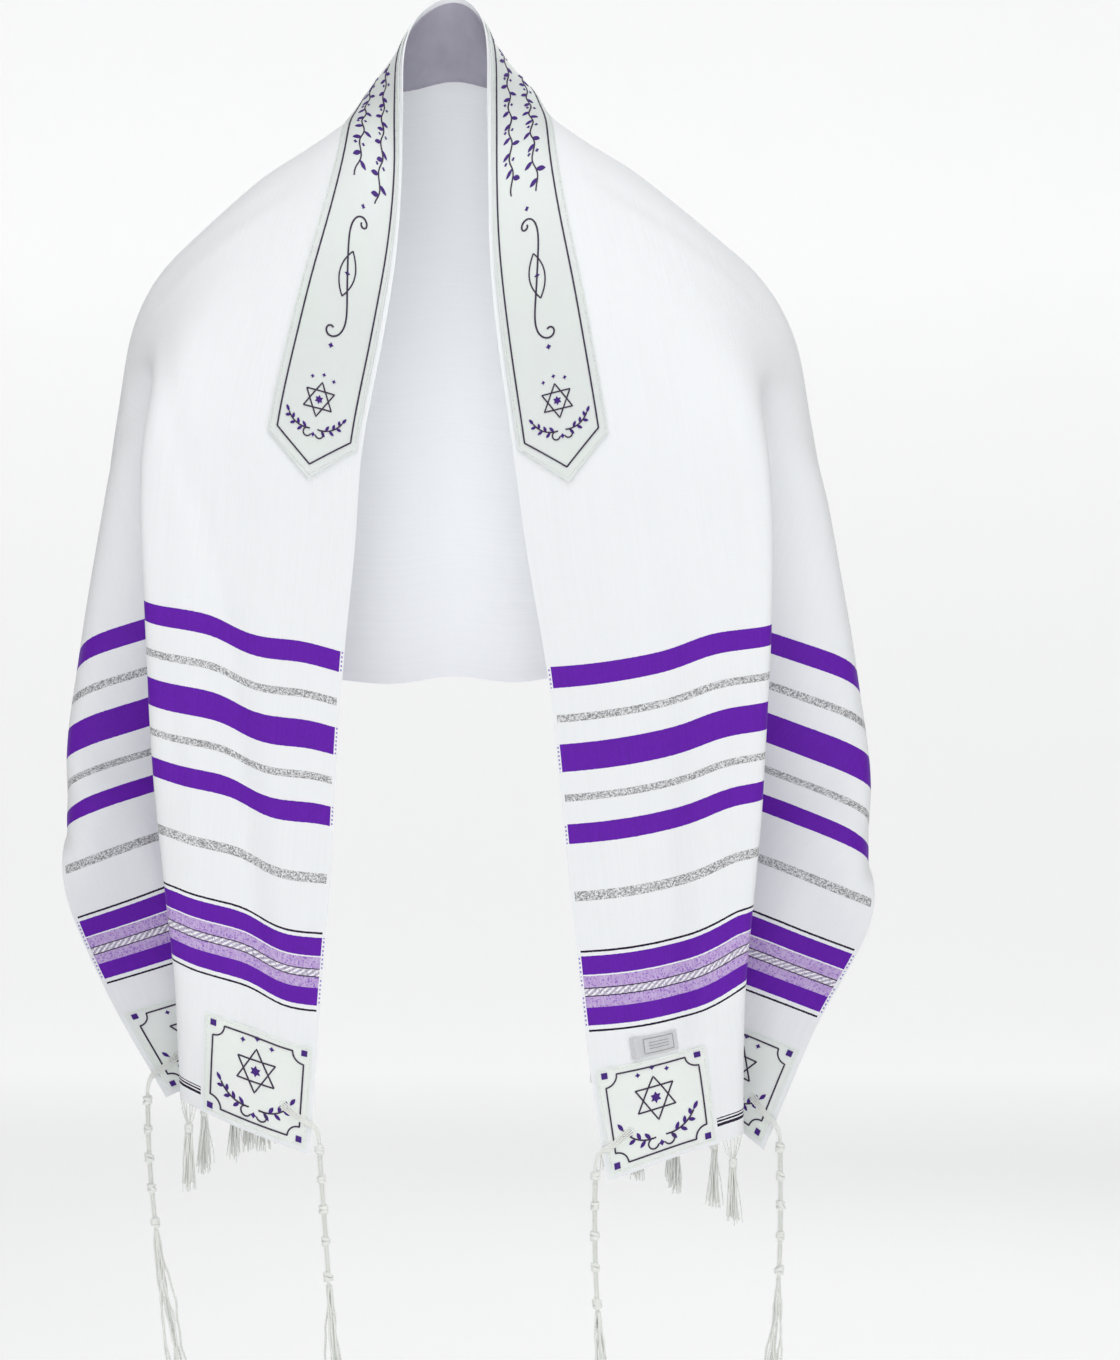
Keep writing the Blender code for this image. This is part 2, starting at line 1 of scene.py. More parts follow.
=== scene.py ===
"""Dresses the fringed prayer shawl: woven cloth, satin neck band and patches, and knotted fringes."""
import math

import bpy
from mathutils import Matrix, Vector
import numpy as np


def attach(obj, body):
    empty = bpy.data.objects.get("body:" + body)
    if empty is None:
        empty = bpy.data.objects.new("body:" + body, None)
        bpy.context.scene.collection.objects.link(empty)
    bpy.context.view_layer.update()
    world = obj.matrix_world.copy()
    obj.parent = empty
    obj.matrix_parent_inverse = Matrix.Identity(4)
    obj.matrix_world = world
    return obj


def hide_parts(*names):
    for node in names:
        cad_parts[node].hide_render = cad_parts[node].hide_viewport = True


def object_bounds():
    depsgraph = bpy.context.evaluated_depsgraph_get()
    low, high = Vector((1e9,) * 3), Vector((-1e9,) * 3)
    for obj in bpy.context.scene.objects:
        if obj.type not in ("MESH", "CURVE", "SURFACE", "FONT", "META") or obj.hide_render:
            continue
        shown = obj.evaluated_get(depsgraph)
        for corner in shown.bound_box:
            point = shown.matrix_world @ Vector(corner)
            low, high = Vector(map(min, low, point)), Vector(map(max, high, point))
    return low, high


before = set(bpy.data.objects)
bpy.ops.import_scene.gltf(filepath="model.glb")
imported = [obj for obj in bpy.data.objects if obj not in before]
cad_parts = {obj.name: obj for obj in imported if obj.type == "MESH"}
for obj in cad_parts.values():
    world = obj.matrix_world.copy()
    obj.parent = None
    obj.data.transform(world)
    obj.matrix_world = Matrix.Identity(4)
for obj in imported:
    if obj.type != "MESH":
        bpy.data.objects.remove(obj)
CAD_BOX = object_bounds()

bl_info = {
    "name": "Fringed prayer shawl",
    "version": (1, 0, 0),
    "blender": (4, 5, 0),
    "location": "View3D > Sidebar > Shawl",
    "description": "Weaves, trims and fringes a draped prayer shawl",
    "category": "Object",
}

# The cut, metres
HALF_LENGTH = 0.940
WIDTH = 0.540
COLLAR_INNER = 0.004
COLLAR_OUTER = 0.072
FACING_OUTER = 0.066
COLLAR_MIDDLE = (COLLAR_INNER + COLLAR_OUTER) / 2
COLLAR_END = 0.430
COLLAR_POINT = 0.029
FACING_END = 0.070
PATCH_MARGIN = 0.003
PATCH_WIDE = 0.087
PATCH_TALL = 0.079
LABEL_ACROSS = (0.032, 0.068)
LABEL_FROM_HEM = (0.082, 0.099)
TUCK_FROM = 0.37
TUCK_FULL = 0.47
MM = 0.001
GOLDEN_TURN = 2.399963      # radians, spreads yarns evenly over a round

# The drape, a row for each station along the cloth from centre back to the left hem.
# Each place is (x outward, y back, z up) in millimetres where the station's thread crosses a
# named line of the garment. crisp is 0 where those lines are soft bends and 1 where they are folds.
COLUMNS = ("along", "crisp", "neck", "collar", "fold", "tuck", "arm", "rear", "hem")
DRAPE = (
    (0, 0, (0, 60, 142), (0, 76, 80), (0, 110, -1), (0, 127, -95), (0, 132, -244), (0, 128, -322),
     (0, 119, -392)),
    (35, 0, (27, 47, 127), (31, 78, 78), (36, 110, -3), (39, 127, -96), (40, 132, -245),
     (40, 128, -323), (40, 119, -393)),
    (75, 0, (39, 20, 97), (61, 76, 78), (80, 108, -1), (88, 127, -93), (90, 133, -243),
     (90, 129, -321), (90, 120, -391)),
    (130, 0, (40, -10, 51), (72, 45, 58), (114, 93, -1), (132, 121, -90), (137, 133, -240),
     (138, 131, -318), (138, 124, -388)),
    (205, 0, (40, -50, -15), (80, -15, 27), (154, 30, -3), (200, 72, -70), (206, 120, -212),
     (204, 132, -292), (200, 133, -362)),
    (270, 0, (44, -78, -75), (90, -58, -35), (176, -22, -42), (236, 24, -82), (249, 90, -200),
     (250, 128, -272), (244, 148, -344)),
    (340, 0.1, (53, -100, -137), (112, -88, -111), (203, -62, -110), (249, -6, -132),
     (268, 42, -232), (264, 80, -312), (254, 108, -385)),
    (430, 0.5, (69, -110, -223), (131, -107, -207), (240, -94, -195), (224, -40, -192),
     (267, 0, -214), (271, 74, -300), (262, 112, -405)),
    (500, 0.9, (74, -110, -294), (139, -113, -279), (241, -104, -266), (200, -35, -258),
     (279, 0, -287), (279, 70, -342), (266, 104, -440)),
    (570, 1, (82, -110, -373), (147, -117, -357), (235, -115, -337), (180, -20, -328),
     (289, -2, -362), (291, 64, -387), (274, 112, -460)),
    (660, 1, (88, -111, -463), (153, -119, -447), (230, -118, -427), (142, 35, -414),
     (298, -4, -463), (300, 44, -478), (292, 84, -503)),
    (705, 1, (90, -112, -508), (156, -119, -492), (227, -118, -471), (138, 50, -454),
     (262, 2, -493), (298, -6, -505), (300, 26, -512)),
    (750, 1, (93, -112, -553), (158, -119, -537), (222, -118, -516), (135, 62, -497),
     (224, 8, -522), (263, 0, -537), (299, -10, -550)),
    (840, 1, (100, -113, -643), (164, -119, -627), (212, -117, -607), (126, 76, -594),
     (192, -8, -608), (228, -20, -619), (264, -30, -629)),
    (940, 1, (107, -114, -743), (168, -119, -720), (208, -94, -702), (126, 106, -690),
     (186, -12, -695), (202, -30, -701), (218, -45, -707)),
)
LINES = COLUMNS[2:]
FOLD, TUCK, ARM = (LINES.index(name) for name in ("fold", "tuck", "arm"))

# How the right side differs from the left, (outward, up) in millimetres for each line
RIGHT_SHIFT = (
    (0, (0, 0), (0, 0), (0, 0), (0, 0), (0, 0), (0, 0), (0, 0)),
    (75, (-14, 0), (-5, 0), (0, 0), (0, 0), (0, 0), (0, 0), (0, 0)),
    (205, (-15, 0), (-6, 0), (-3, 0), (2, 0), (2, 0), (1, 0), (0, 0)),
    (340, (-22, 0), (-14, 0), (-2, 0), (14, -5), (15, -6), (14, -6), (10, -6)),
    (430, (-26, 0), (-17, 0), (-2, -8), (4, -9), (19, -13), (18, -14), (13, -10)),
    (570, (-14, -11), (-12, -12), (4, -15), (-4, -8), (21, -17), (20, -18), (14, -16)),
    (660, (-10, -12), (-8, -13), (4, -16), (-10, -2), (21, -24), (21, -25), (20, -26)),
    (750, (-6, -12), (-4, -13), (6, -15), (-14, -10), (9, -18), (14, -22), (20, -25)),
    (840, (-3, -16), (0, -17), (7, -18), (-20, -15), (8, -20), (9, -22), (10, -26)),
    (940, (5, -20), (4, -21), (11, -27), (-24, -18), (15, -26), (15, -33), (15, -40)),
)

# Length of bend taken out of each corner between the lines, soft and crisp, in millimetres
BEND = (("collar", 30, 30), ("fold", 44, 13), ("tuck", 34, 24), ("arm", 60, 27), ("rear", 38, 30))

# Soft troughs and ridges: side, start (along, across), end (along, across), half width and height.
# Heights in millimetres, outward positive, growing from the first end to the second.
CREASES = (
    ("left", (300, 120), (900, 62), 30, 0, -7),
    ("left", (470, 128), (800, 96), 24, 3, 6),
    ("right", (330, 110), (900, 58), 28, 0, -6),
    ("right", (480, 126), (860, 92), 24, 3, 5),
    ("left", (180, 250), (235, 550), 26, 0, -15),
    ("left", (300, 300), (385, 550), 34, 0, 5),
    ("right", (170, 250), (222, 550), 26, 0, -12),
    ("right", (290, 300), (370, 550), 34, 0, 6),
    ("left", (90, 160), (118, 550), 34, 0, 9),
    ("right", (100, 170), (140, 550), 32, 0, 8),
    ("left", (20, 150), (52, 550), 30, 0, -7),
    ("right", (16, 170), (60, 550), 34, 0, -8),
    # the finer ones that only show close to
    ("left", (340, 180), (575, 88), 11, -1.0, -2.6),
    ("left", (560, 92), (830, 44), 9, -2.4, -1.6),
    ("left", (560, 66), (800, 30), 12, 1.0, 1.6),
    ("left", (600, 112), (860, 96), 11, 0.6, 2.2),
    ("left", (560, 132), (700, 118), 9, 0.4, -1.4),
    ("left", (610, 40), (930, 30), 16, 0.2, 1.6),
    ("left", (240, 96), (300, 210), 12, -1.2, -0.4),
    ("left", (262, 104), (352, 236), 10, 1.2, 0.3),
    ("left", (206, 120), (214, 250), 14, 1.0, 0.2),
    ("left", (640, 330), (900, 352), 20, 0.4, 2.6),
    ("left", (500, 380), (690, 430), 16, 0.6, -2.2),
    ("left", (700, 470), (930, 455), 14, 0.3, 2.0),
    ("right", (560, 100), (900, 84), 12, 0.5, 1.7),
    ("right", (360, 150), (560, 76), 12, -0.8, -1.8),
    ("right", (790, 470), (860, 380), 8, -1.4, 0.9),
    ("right", (755, 455), (800, 360), 7, 1.1, -0.8),
    ("left", (770, 470), (840, 385), 8, 1.3, -0.9),
    ("left", (735, 450), (790, 372), 7, -1.0, 0.9),
    ("right", (520, 60), (820, 44), 15, 0.3, -1.5),
    ("right", (236, 92), (306, 214), 11, -1.1, -0.3),
    ("right", (256, 100), (340, 240), 10, 1.0, 0.3),
    ("right", (200, 118), (206, 240), 14, 0.9, 0.2),
    ("right", (620, 340), (910, 360), 18, 0.5, 2.4),
    ("right", (520, 390), (720, 425), 15, 0.6, -2.0),
    ("right", (720, 480), (930, 470), 14, 0.3, 1.8),
    ("left", (60, 200), (74, 520), 12, 0.3, 1.8),
    ("left", (140, 210), (168, 520), 13, 0.2, 2.2),
    ("right", (40, 210), (62, 520), 12, 0.2, 1.5),
    ("right", (150, 220), (186, 520), 14, 0.2, 2.0),
)

# How far the fronts' threads stray towards the hem, in millimetres. The left ones step down over
# a bend that slants across the front; the right ones sag between the edge and the fold.
STRAY_LINE = ((570, 90), (660, 76), (740, 58), (800, 49), (940, 30))        # along, across
STRAY_LEFT = ((-90, 0.0), (-56, -1.2), (-34, 2.6), (-19, 3.7), (-8, 1.4), (3, -3.0), (14, -4.8),
              (33, -3.4), (51, -2.4), (66, -3.4), (100, -1.6), (170, 0.0))    # from the line, stray
STRAY_RIGHT = ((0, 0.0), (20, 2.8), (40, 4.8), (60, 5.9), (88, 5.8), (105, 3.2), (122, -1.4),
               (160, 0.0))                                                # across, stray
STRAY_REACH = ((460, 0.0), (560, 1.0), (838, 1.0), (884, 0.0))            # along, share of it

# The woven bands from an end hem upwards: finish and depth in millimetres
WOVEN = (
    ("white", 106.3), ("dark", 1.5), ("white", 3.0), ("purple", 12.6), ("lilac", 7.6), ("dark", 0.8),
    ("braid", 4.8), ("dark", 0.8), ("lilac", 8.1), ("white", 1.0), ("purple", 13.1), ("white", 2.5),
    ("dark", 1.5), ("white", 35.3), ("silver", 7.1), ("white", 35.3), ("purple", 14.6),
    ("white", 16.7), ("silver", 5.4), ("white", 16.7), ("purple", 20.7), ("white", 16.2),
    ("silver", 5.6), ("white", 19.2), ("purple", 14.6),
)
SELVEDGE = 0.0030           # bands stop this far from the long edges
HEM_LINES = ((0.0136, 0.0023), (0.0164, 0.0014), (0.0186, 0.0009))     # from the hem, depth
HEM_LINE_ENDS = 0.090       # they run between the corner patches
DOTS = (0.0010, 0.0022)     # weft ends on the selvedge, from the long edge
THREAD = 0.0011             # two threads of the plain weave
LINE_LOW, LINE_HIGH = 0.0002, 0.0008       # line work, from the satin's even height
# The neck band's drawings. Vines: place across in mm, start and end along in metres
VINES = ((-12.5, 0.045, 0.236), (12.0, 0.085, 0.246))
VINE_STEP = 8.2             # mm between leaves
SCROLL_AT, STAR_AT = 0.308, 0.407       # along, metres
SCROLL_TALL, SCROLL_CURL = 92.0, 31.0   # mm, and radians a half at the tightest
BAND_STAR, PATCH_STAR = 0.92, 1.24      # scales of the star motif

# Knotted corner fringes: name, side, edge, sway of the free end (x, y) in mm, length in metres
CORNER_FRINGES = (
    ("front_left", "left", "neck", (22, -6), 0.262),
    ("front_right", "right", "neck", (12, -6), 0.262),
    ("back_left", "left", "outer", (28, 6), 0.256),
    ("back_right", "right", "outer", (-8, 6), 0.258),
)
# Their way from the eyelet over the long edge: from that edge, above the hem
FRINGE_ROUTE = ((0.024, 0.030), (0.010, 0.024), (0.0, 0.021), (0.006, 0.021))
FRINGE_LEAD = 0.14          # part of a fringe that lies on its patch
STEM_SHARE = 0.36           # the wound and knotted part
FRINGE_POINTS = 260
FRINGE_LIFT = 0.0026        # from the cloth's middle to the yarn's on the patch
FRINGE_ENDS = 8
STEM_CORE, COIL_RADIUS, COIL_YARN, COIL_PITCH = 0.00135, 0.0015, 0.00056, 0.00135      # metres
KNOT_SIZE = 0.0039
KNOT_PLACES = (0.05, 0.25, 0.46, 0.68, 0.93)        # shares of the wound part
EYELET_RADIUS, EYELET_WIRE = 0.0026, 0.0005
TASSEL_ACROSS = (0.102, 0.158, 0.213, 0.266, 0.316, 0.392, 0.436)
TASSEL_DROP = 0.018         # hem to knot
TASSEL_BRUSH = 0.042
TASSEL_SPREAD = 0.009       # half of the hem that feeds one tassel
TASSEL_ROOTS = (-1, -0.62, -0.2, 0.24, 0.66, 1)     # shares of the spread
TASSEL_KNOT = (0.0016, 0.0026, 0.0031, 0.0029, 0.0031, 0.0027, 0.0017)      # radii down the knot

# The photograph's framing
VIEW_DISTANCE = 3.2
VIEW_PLANE = -0.11          # the fronts' distance from the middle of the neck hole
VIEW_HEIGHT = -0.392
FRAME_TALL = 1.0064         # height that the frame takes in at the fronts
FRAME_SHIFT = 105 / 1360    # sideways, as a share of that height
SENSOR = 36.0
# Soft lights: name, place, size, watts
LIGHTS = (
    ("front_softbox", (-0.3, -3.9, 0.0), (1.8, 1.8), 40.0),
    ("left_softbox", (-2.6, -1.8, 0.7), (1.6, 1.8), 9.0),
    ("right_softbox", (2.6, -1.8, 0.5), (1.6, 1.8), 18.0),
    ("top_softbox", (0.0, -0.8, 2.3), (2.6, 1.4), 44.0),
    ("rear_softbox", (0.8, 2.6, 0.9), (2.0, 1.6), 10.0),
)
# A weak one between the fronts and the back, aimed at the inside of the back
INSIDE_LIGHT = ("inside_fill", (-0.01, -0.03, -0.24), (0.16, 0.34), 0.15)
INSIDE_TARGET = (-0.01, 1.0, -0.10)
AIR_COLOUR, AIR_LIGHT = (0.97, 0.98, 1.0, 1.0), 0.20      # light from all round
# The paper in metres: its side, its middle in front of the shawl's, its drop below it, the height
# of its upright part and how far back its bend starts from that
PAPER_SIDE, PAPER_AHEAD, PAPER_DROP, PAPER_RISE, PAPER_BEND = 16.0, 1.0, 0.16, 5.0, 1.8
GLOW_FROM_TO, GLOW = (1.0, 5.5), (0.37, 0.56)       # the paper's own light, by distance back


def linear(code):
    """A colour written as six hexadecimal digits, as linear red, green and blue."""
    values = [int(code[i:i + 2], 16) / 255 for i in (0, 2, 4)]
    return tuple(v / 12.92 if v <= 0.04045 else ((v + 0.055) / 1.055)**2.4 for v in values)


def scaled(colour, share):
    return tuple(v * share for v in colour)


class ShawlSizes(bpy.types.PropertyGroup):
    """Sizes a maker would change."""
    row_step: bpy.props.FloatProperty(
        name="Row step", description="Distance between rows of points along the cloth",
        default=0.005, min=0.002, max=0.02, unit="LENGTH")
    cloth_thickness: bpy.props.FloatProperty(
        name="Cloth", description="Thickness of the woven cloth", default=0.0011, unit="LENGTH")
    satin_thickness: bpy.props.FloatProperty(
        name="Satin", description="Thickness of the satin with its turned edges",
        default=0.0009, unit="LENGTH")
    crease_depth: bpy.props.FloatProperty(
        name="Creases", description="Depth of the soft creases, 1 is as worn", default=1.0,
        min=0.0, max=2.0, subtype="FACTOR")
    line_width: bpy.props.FloatProperty(
        name="Line work", description="Width of the drawn lines on the satin", default=0.0012,
        unit="LENGTH")
    yarn_radius: bpy.props.FloatProperty(
        name="Fringe yarn", description="Radius of a corner fringe's yarn", default=0.00105,
        unit="LENGTH")
    brush_yarns: bpy.props.IntProperty(
        name="Tassel yarns", description="Loose yarns below each hem tassel's knot", default=22)


class ShawlColours(bpy.types.PropertyGroup):
    """Colours of the yarns and trims."""
    white: bpy.props.FloatVectorProperty(
        name="Ground", description="Cool white ground cloth", subtype="COLOR",
        default=linear("EFF1F3"))
    purple: bpy.props.FloatVectorProperty(
        name="Purple", description="Woven purple bands", subtype="COLOR", default=linear("6A16B2"))
    purple_deep: bpy.props.FloatVectorProperty(
        name="Deep purple", description="Shaded yarns of the purple bands", subtype="COLOR",
        default=linear("4A0D88"))
    lilac: bpy.props.FloatVectorProperty(
        name="Lilac", description="Mottled lilac bands", subtype="COLOR", default=linear("B092CC"))
    silver: bpy.props.FloatVectorProperty(
        name="Silver", description="Metallic thread of the narrow bands", subtype="COLOR",
        default=linear("BDBEC0"))
    satin: bpy.props.FloatVectorProperty(
        name="Patch satin", description="Corner patches", subtype="COLOR",
        default=linear("E7EAE8"))
    band_satin: bpy.props.FloatVectorProperty(
        name="Band satin", description="Neck band", subtype="COLOR", default=linear("DCE0DF"))
    line: bpy.props.FloatVectorProperty(
        name="Line work", description="Drawn lines on the satin", subtype="COLOR",
        default=linear("352A40"))
    accent: bpy.props.FloatVectorProperty(
        name="Accent", description="Filled shapes on the satin", subtype="COLOR",
        default=linear("3B1670"))
    facing: bpy.props.FloatVectorProperty(
        name="Facing", description="Grey-lilac facing inside the neck", subtype="COLOR",
        default=linear("A8A5B3"))
    label: bpy.props.FloatVectorProperty(
        name="Label", description="Small grey ribbon", subtype="COLOR", default=linear("D0D1D4"))
    cord: bpy.props.FloatVectorProperty(
        name="Fringe", description="White wool of the fringes", subtype="COLOR",
        default=linear("EEF0EC"))
    room: bpy.props.FloatVectorProperty(
        name="Room", description="Plain pale floor and backdrop", subtype="COLOR",
        default=linear("F2F2F2"))


def smooth_between(stations, values, place):
    """A value at a place along the stations, on a smooth curve through the table's rows."""
    last = len(stations) - 1
    i = int(np.clip(np.searchsorted(stations, place) - 1, 0, last - 1))
    span = stations[i + 1] - stations[i]
    u = (place - stations[i]) / span

    def slope(j):
        low, high = max(j - 1, 0), min(j + 1, last)
        return (values[high] - values[low]) / (stations[high] - stations[low])

    return ((2 * u**3 - 3 * u**2 + 1) * values[i] + (u**3 - 2 * u**2 + u) * span * slope(i)
            + (3 * u**2 - 2 * u**3) * values[i + 1] + (u**3 - u**2) * span * slope(i + 1))


def drape_table(side):
    """The station table of one side in metres, continued past centre back by its mirror."""
    shift_at = np.array([row[0] for row in RIGHT_SHIFT], float)
    along, crisp, places = [], [], []
    for row in DRAPE:
        points = np.array(row[2:], float)
        if side == "right":
            for column in range(len(LINES)):
                pairs = np.array([shift[column + 1] for shift in RIGHT_SHIFT], float)
                outward, up = smooth_between(shift_at, pairs, row[0])
                points[column] += (outward, 0.0, up)
        else:
            points[:, 0] *= -1.0
        along.append(row[0] * MM)
        crisp.append(float(row[1]))
        places.append(points * MM)
    mirror = places[1] * (-1, 1, 1)
    return np.array([-along[1]] + along), np.array([0.0] + crisp), np.array([mirror] + places)


def rounded(corners, sharp):
    """The path through a thread's corners with its bends rounded, and where each bend lies in it."""
    path, bends = [corners[:1]], []
    u = np.linspace(0, 1, 9)[:, None]
    for i, (_, soft, hard) in enumerate(BEND, start=1):
        corner = corners[i]
        back, ahead = corners[i - 1] - corner, corners[i + 1] - corner
        far_back, far_ahead = math.dist(back, (0, 0, 0)), math.dist(ahead, (0, 0, 0))
        cut = min((soft + (hard - soft) * sharp) * MM, 0.48 * far_back, 0.48 * far_ahead)
        start = corner + back / far_back * cut
        end = corner + ahead / far_ahead * cut
        path.append((1 - u)**2 * start + 2 * u * (1 - u) * corner + u**2 * end)
        bends.append(9 * i - 4)
    path.append(corners[-1:])
    path = np.vstack(path)
    return path, distances(path), bends


def thread(table, along):
    """One thread across the cloth: its rounded path, the distance along it, and where it bends."""
    stations, crisp, places = table
    corners = smooth_between(stations, places, along)
    sharp = float(np.clip(np.interp(along, stations, crisp), 0, 1))
    share = float(np.clip((along - TUCK_FROM) / (TUCK_FULL - TUCK_FROM), 0, 1))
    if share > 0:
        mouth = (corners[FOLD] + corners[ARM]) / 2
        depth = corners[TUCK] - mouth
        low, high = 0.1, 3.0
        for _ in range(16):
            deeper = (low + high) / 2
            corners[TUCK] = mouth + depth * deeper
            if rounded(corners, sharp)[1][-1] < WIDTH:
                low = deeper
            else:
                high = deeper
        corners[TUCK] = mouth + depth * (1 + (deeper - 1) * share)
    path, reach, bends = rounded(corners, sharp)
    if reach[-1] < WIDTH:
        ahead = path[-1] - path[-2]
        path = np.vstack([path, path[-1] + ahead / np.linalg.norm(ahead) * (WIDTH - reach[-1])])
        reach = np.append(reach, WIDTH)
    return path, reach, [reach[i] for i in bends]


FOLD_ZONE, TUCK_ZONE = 0.021, 0.020
CELLS = (22, 16, 10, 14, 15, 21)        # between the stops that follow the fold, tuck and arm


def column_places(bends):
    """Distances across the cloth of a row's points, closer together in the fold and the tuck."""
    fold = float(np.clip(bends[1], 0.115, WIDTH - 0.25))
    tuck = float(np.clip(bends[2], fold + FOLD_ZONE + TUCK_ZONE + 0.012, WIDTH - 0.11))
    arm = float(np.clip(bends[3], tuck + TUCK_ZONE + 0.02, WIDTH - 0.04))
    stops = (0.0, fold - FOLD_ZONE, fold + FOLD_ZONE, tuck - TUCK_ZONE, tuck + TUCK_ZONE, arm, WIDTH)
    places = [np.linspace(a, b, n, endpoint=False) for a, b, n in zip(stops, stops[1:], CELLS)]
    return np.concatenate(places + [[WIDTH]])


def crease_heights(along, across, depth):
    """How far the creases push the cloth out, for arrays of signed places on it."""
    height = np.zeros_like(along)
    for side, (a0, t0), (a1, t1), half, low, high in CREASES:
        here = (along < 0) if side == "left" else (along >= 0)
        a, t = np.abs(along) / MM, across / MM
        if abs(a1 - a0) > abs(t1 - t0):
            u = (a - a0) / (a1 - a0)
            off = t - (t0 + (t1 - t0) * u)
        else:
            u = (t - t0) / (t1 - t0)
            off = a - (a0 + (a1 - a0) * u)
        ends = np.clip(u / 0.25 + 0.2, 0, 1) * np.clip((1.15 - u) / 0.3, 0, 1)
        bell = 0.5 + 0.5 * np.cos(math.pi * np.clip(off / (2 * half), -1, 1))
        height += here * (low + (high - low) * np.clip(u, 0, 1)) * bell**2 * ends
    return height * MM * depth


def unit(vectors):
    return vectors / np.linalg.norm(vectors, axis=-1, keepdims=True)


def distances(path):
    """How far along its line each point lies."""
    return np.concatenate([[0], np.cumsum(np.linalg.norm(np.diff(path, axis=0), axis=1))])


def surface_normals(places):
    """Unit normals at a grid's points, away from the wearer."""
    normal = unit(np.cross(np.gradient(places, axis=0), np.gradient(places, axis=1)))
    if normal[places.shape[0] // 2, places.shape[1] // 2, 1] < 0:
        normal = -normal
    return normal


def relax(values, passes, axis):
    """Evens out small steps along one direction of a grid and leaves its edges."""
    values = values.copy()
    for _ in range(passes):
        inner = np.roll(values, 1, axis) + 2 * values + np.roll(values, -1, axis)
        keep = [slice(None)] * values.ndim
        keep[axis] = slice(1, -1)
        values[tuple(keep)] = inner[tuple(keep)] / 4
    return values


def stray(along, across):
    """How far the threads of the fronts lie off their even places, towards the hem."""
    size = np.abs(along)[:, None] / MM
    across = across / MM
    share = np.interp(size, *zip(*STRAY_REACH))
    left = np.interp(across - np.interp(size, *zip(*STRAY_LINE)), *zip(*STRAY_LEFT))
    right = np.interp(across, *zip(*STRAY_RIGHT))
    return relax(share * np.where(along[:, None] < 0, left, right), 4, 1) * MM


class Drape:
    """The middle surface of the cloth as a grid, and places on it by distance from its edges."""

    def __init__(self, row_step, depth):
        half_rows = round(HALF_LENGTH / row_step)
        self.along = np.linspace(-HALF_LENGTH, HALF_LENGTH, 2 * half_rows + 1)
        tables = {side: drape_table(side) for side in ("left", "right")}
        across, places = [], []
        for a in self.along:
            path, reach, bends = thread(tables["left" if a < 0 else "right"], abs(a))
            row = column_places(bends)
            across.append(row)
            places.append(np.stack([np.interp(row, reach, path[:, k]) for k in range(3)], axis=1))
        across = relax(np.array(across), 12, 0)
        places = relax(relax(np.array(places), 12, 0), 3, 1)
        strayed = self.along[:, None] + np.sign(self.along)[:, None] * stray(self.along, across)
        for column in range(across.shape[1]):
            for k in range(3):
                places[:, column, k] = np.interp(strayed[:, column], self.along,
                                                 places[:, column, k])
        signed = np.repeat(self.along[:, None], across.shape[1], axis=1)
        places += surface_normals(places) * crease_heights(signed, across, depth)[..., None]
        self.across = across
        self.places = places
        self.outward = surface_normals(places)
        self.even_step = 0.002
        even = np.arange(0, WIDTH + self.even_step / 2, self.even_step)
        self.even = [np.stack([[np.interp(even, across[r], values[r, :, k]) for k in range(3)]
                               for r in range(len(self.along))]).transpose(0, 2, 1)
                     for values in (self.places, self.outward)]

    def at(self, along, across, lift=0.0):
        """Points off the cloth, at signed distances from centre back and across from the neck edge."""
        along, across = np.broadcast_arrays(np.asarray(along, float), np.asarray(across, float))
        r = np.clip((along + HALF_LENGTH) / (self.along[1] - self.along[0]), 0, len(self.along) - 1.001)
        c = np.clip(across / self.even_step, 0, self.even[0].shape[1] - 1.001)
        r0, c0 = r.astype(int), c.astype(int)
        u, v = (r - r0)[..., None], (c - c0)[..., None]
        found = []
        for values in self.even:
            low = values[r0, c0] * (1 - v) + values[r0, c0 + 1] * v
            high = values[r0 + 1, c0] * (1 - v) + values[r0 + 1, c0 + 1] * v
            found.append(low * (1 - u) + high * u)
        return found[0] + unit(found[1]) * np.asarray(lift)[..., None], unit(found[1])


_drapes = []


def shawl_drape(sizes):
    """The drape that every piece is made on, worked out once."""
    if not _drapes:
        _drapes.append(Drape(sizes.row_step, sizes.crease_depth))
    return _drapes[0]


def deselect():
    for item in bpy.context.selected_objects:
        item.select_set(False)


def only(piece):
    """Select one piece and nothing else."""
    deselect()
    piece.select_set(True)
    bpy.context.view_layer.objects.active = piece


def face_outwards(piece):
    only(piece)
    bpy.ops.object.mode_set(mode="EDIT")
    bpy.ops.mesh.select_all(action="SELECT")
    bpy.ops.mesh.normals_make_consistent(inside=False)
    bpy.ops.object.mode_set(mode="OBJECT")


def new_piece(name, points, faces, finish, uv=None):
    mesh = bpy.data.meshes.new(name)
    mesh.from_pydata(np.asarray(points, float).tolist(), [], faces)
    if uv is not None:
        weave = mesh.uv_layers.new(name="weave")
        corner = np.zeros(len(mesh.loops), int)
        mesh.loops.foreach_get("vertex_index", corner)
        weave.data.foreach_set("uv", np.asarray(uv, float)[corner].astype(np.float32).ravel())
    mesh.materials.append(finish)
    piece = bpy.data.objects.new(name, mesh)
    bpy.context.scene.collection.objects.link(piece)
    return piece


def grid_piece(name, places, uv, thickness, finish):
    """A thin closed shell on a grid of points, with its edges smoothed."""
    rows, columns = places.shape[:2]
    start = np.arange(rows - 1)[:, None] * columns + np.arange(columns - 1)[None, :]
    faces = np.stack([start, start + 1, start + columns + 1, start + columns], axis=-1)
    piece = new_piece(name, places.reshape(-1, 3), faces.reshape(-1, 4).tolist(), finish,
                      uv.reshape(-1, 2))
    only(piece)
    shell = piece.modifiers.new("thickness", "SOLIDIFY")
    shell.thickness = thickness
    shell.offset = 0.0
    bpy.ops.object.modifier_apply(modifier=shell.name)
    face_outwards(piece)
    bpy.ops.object.shade_smooth_by_angle(angle=math.radians(60))
    return piece


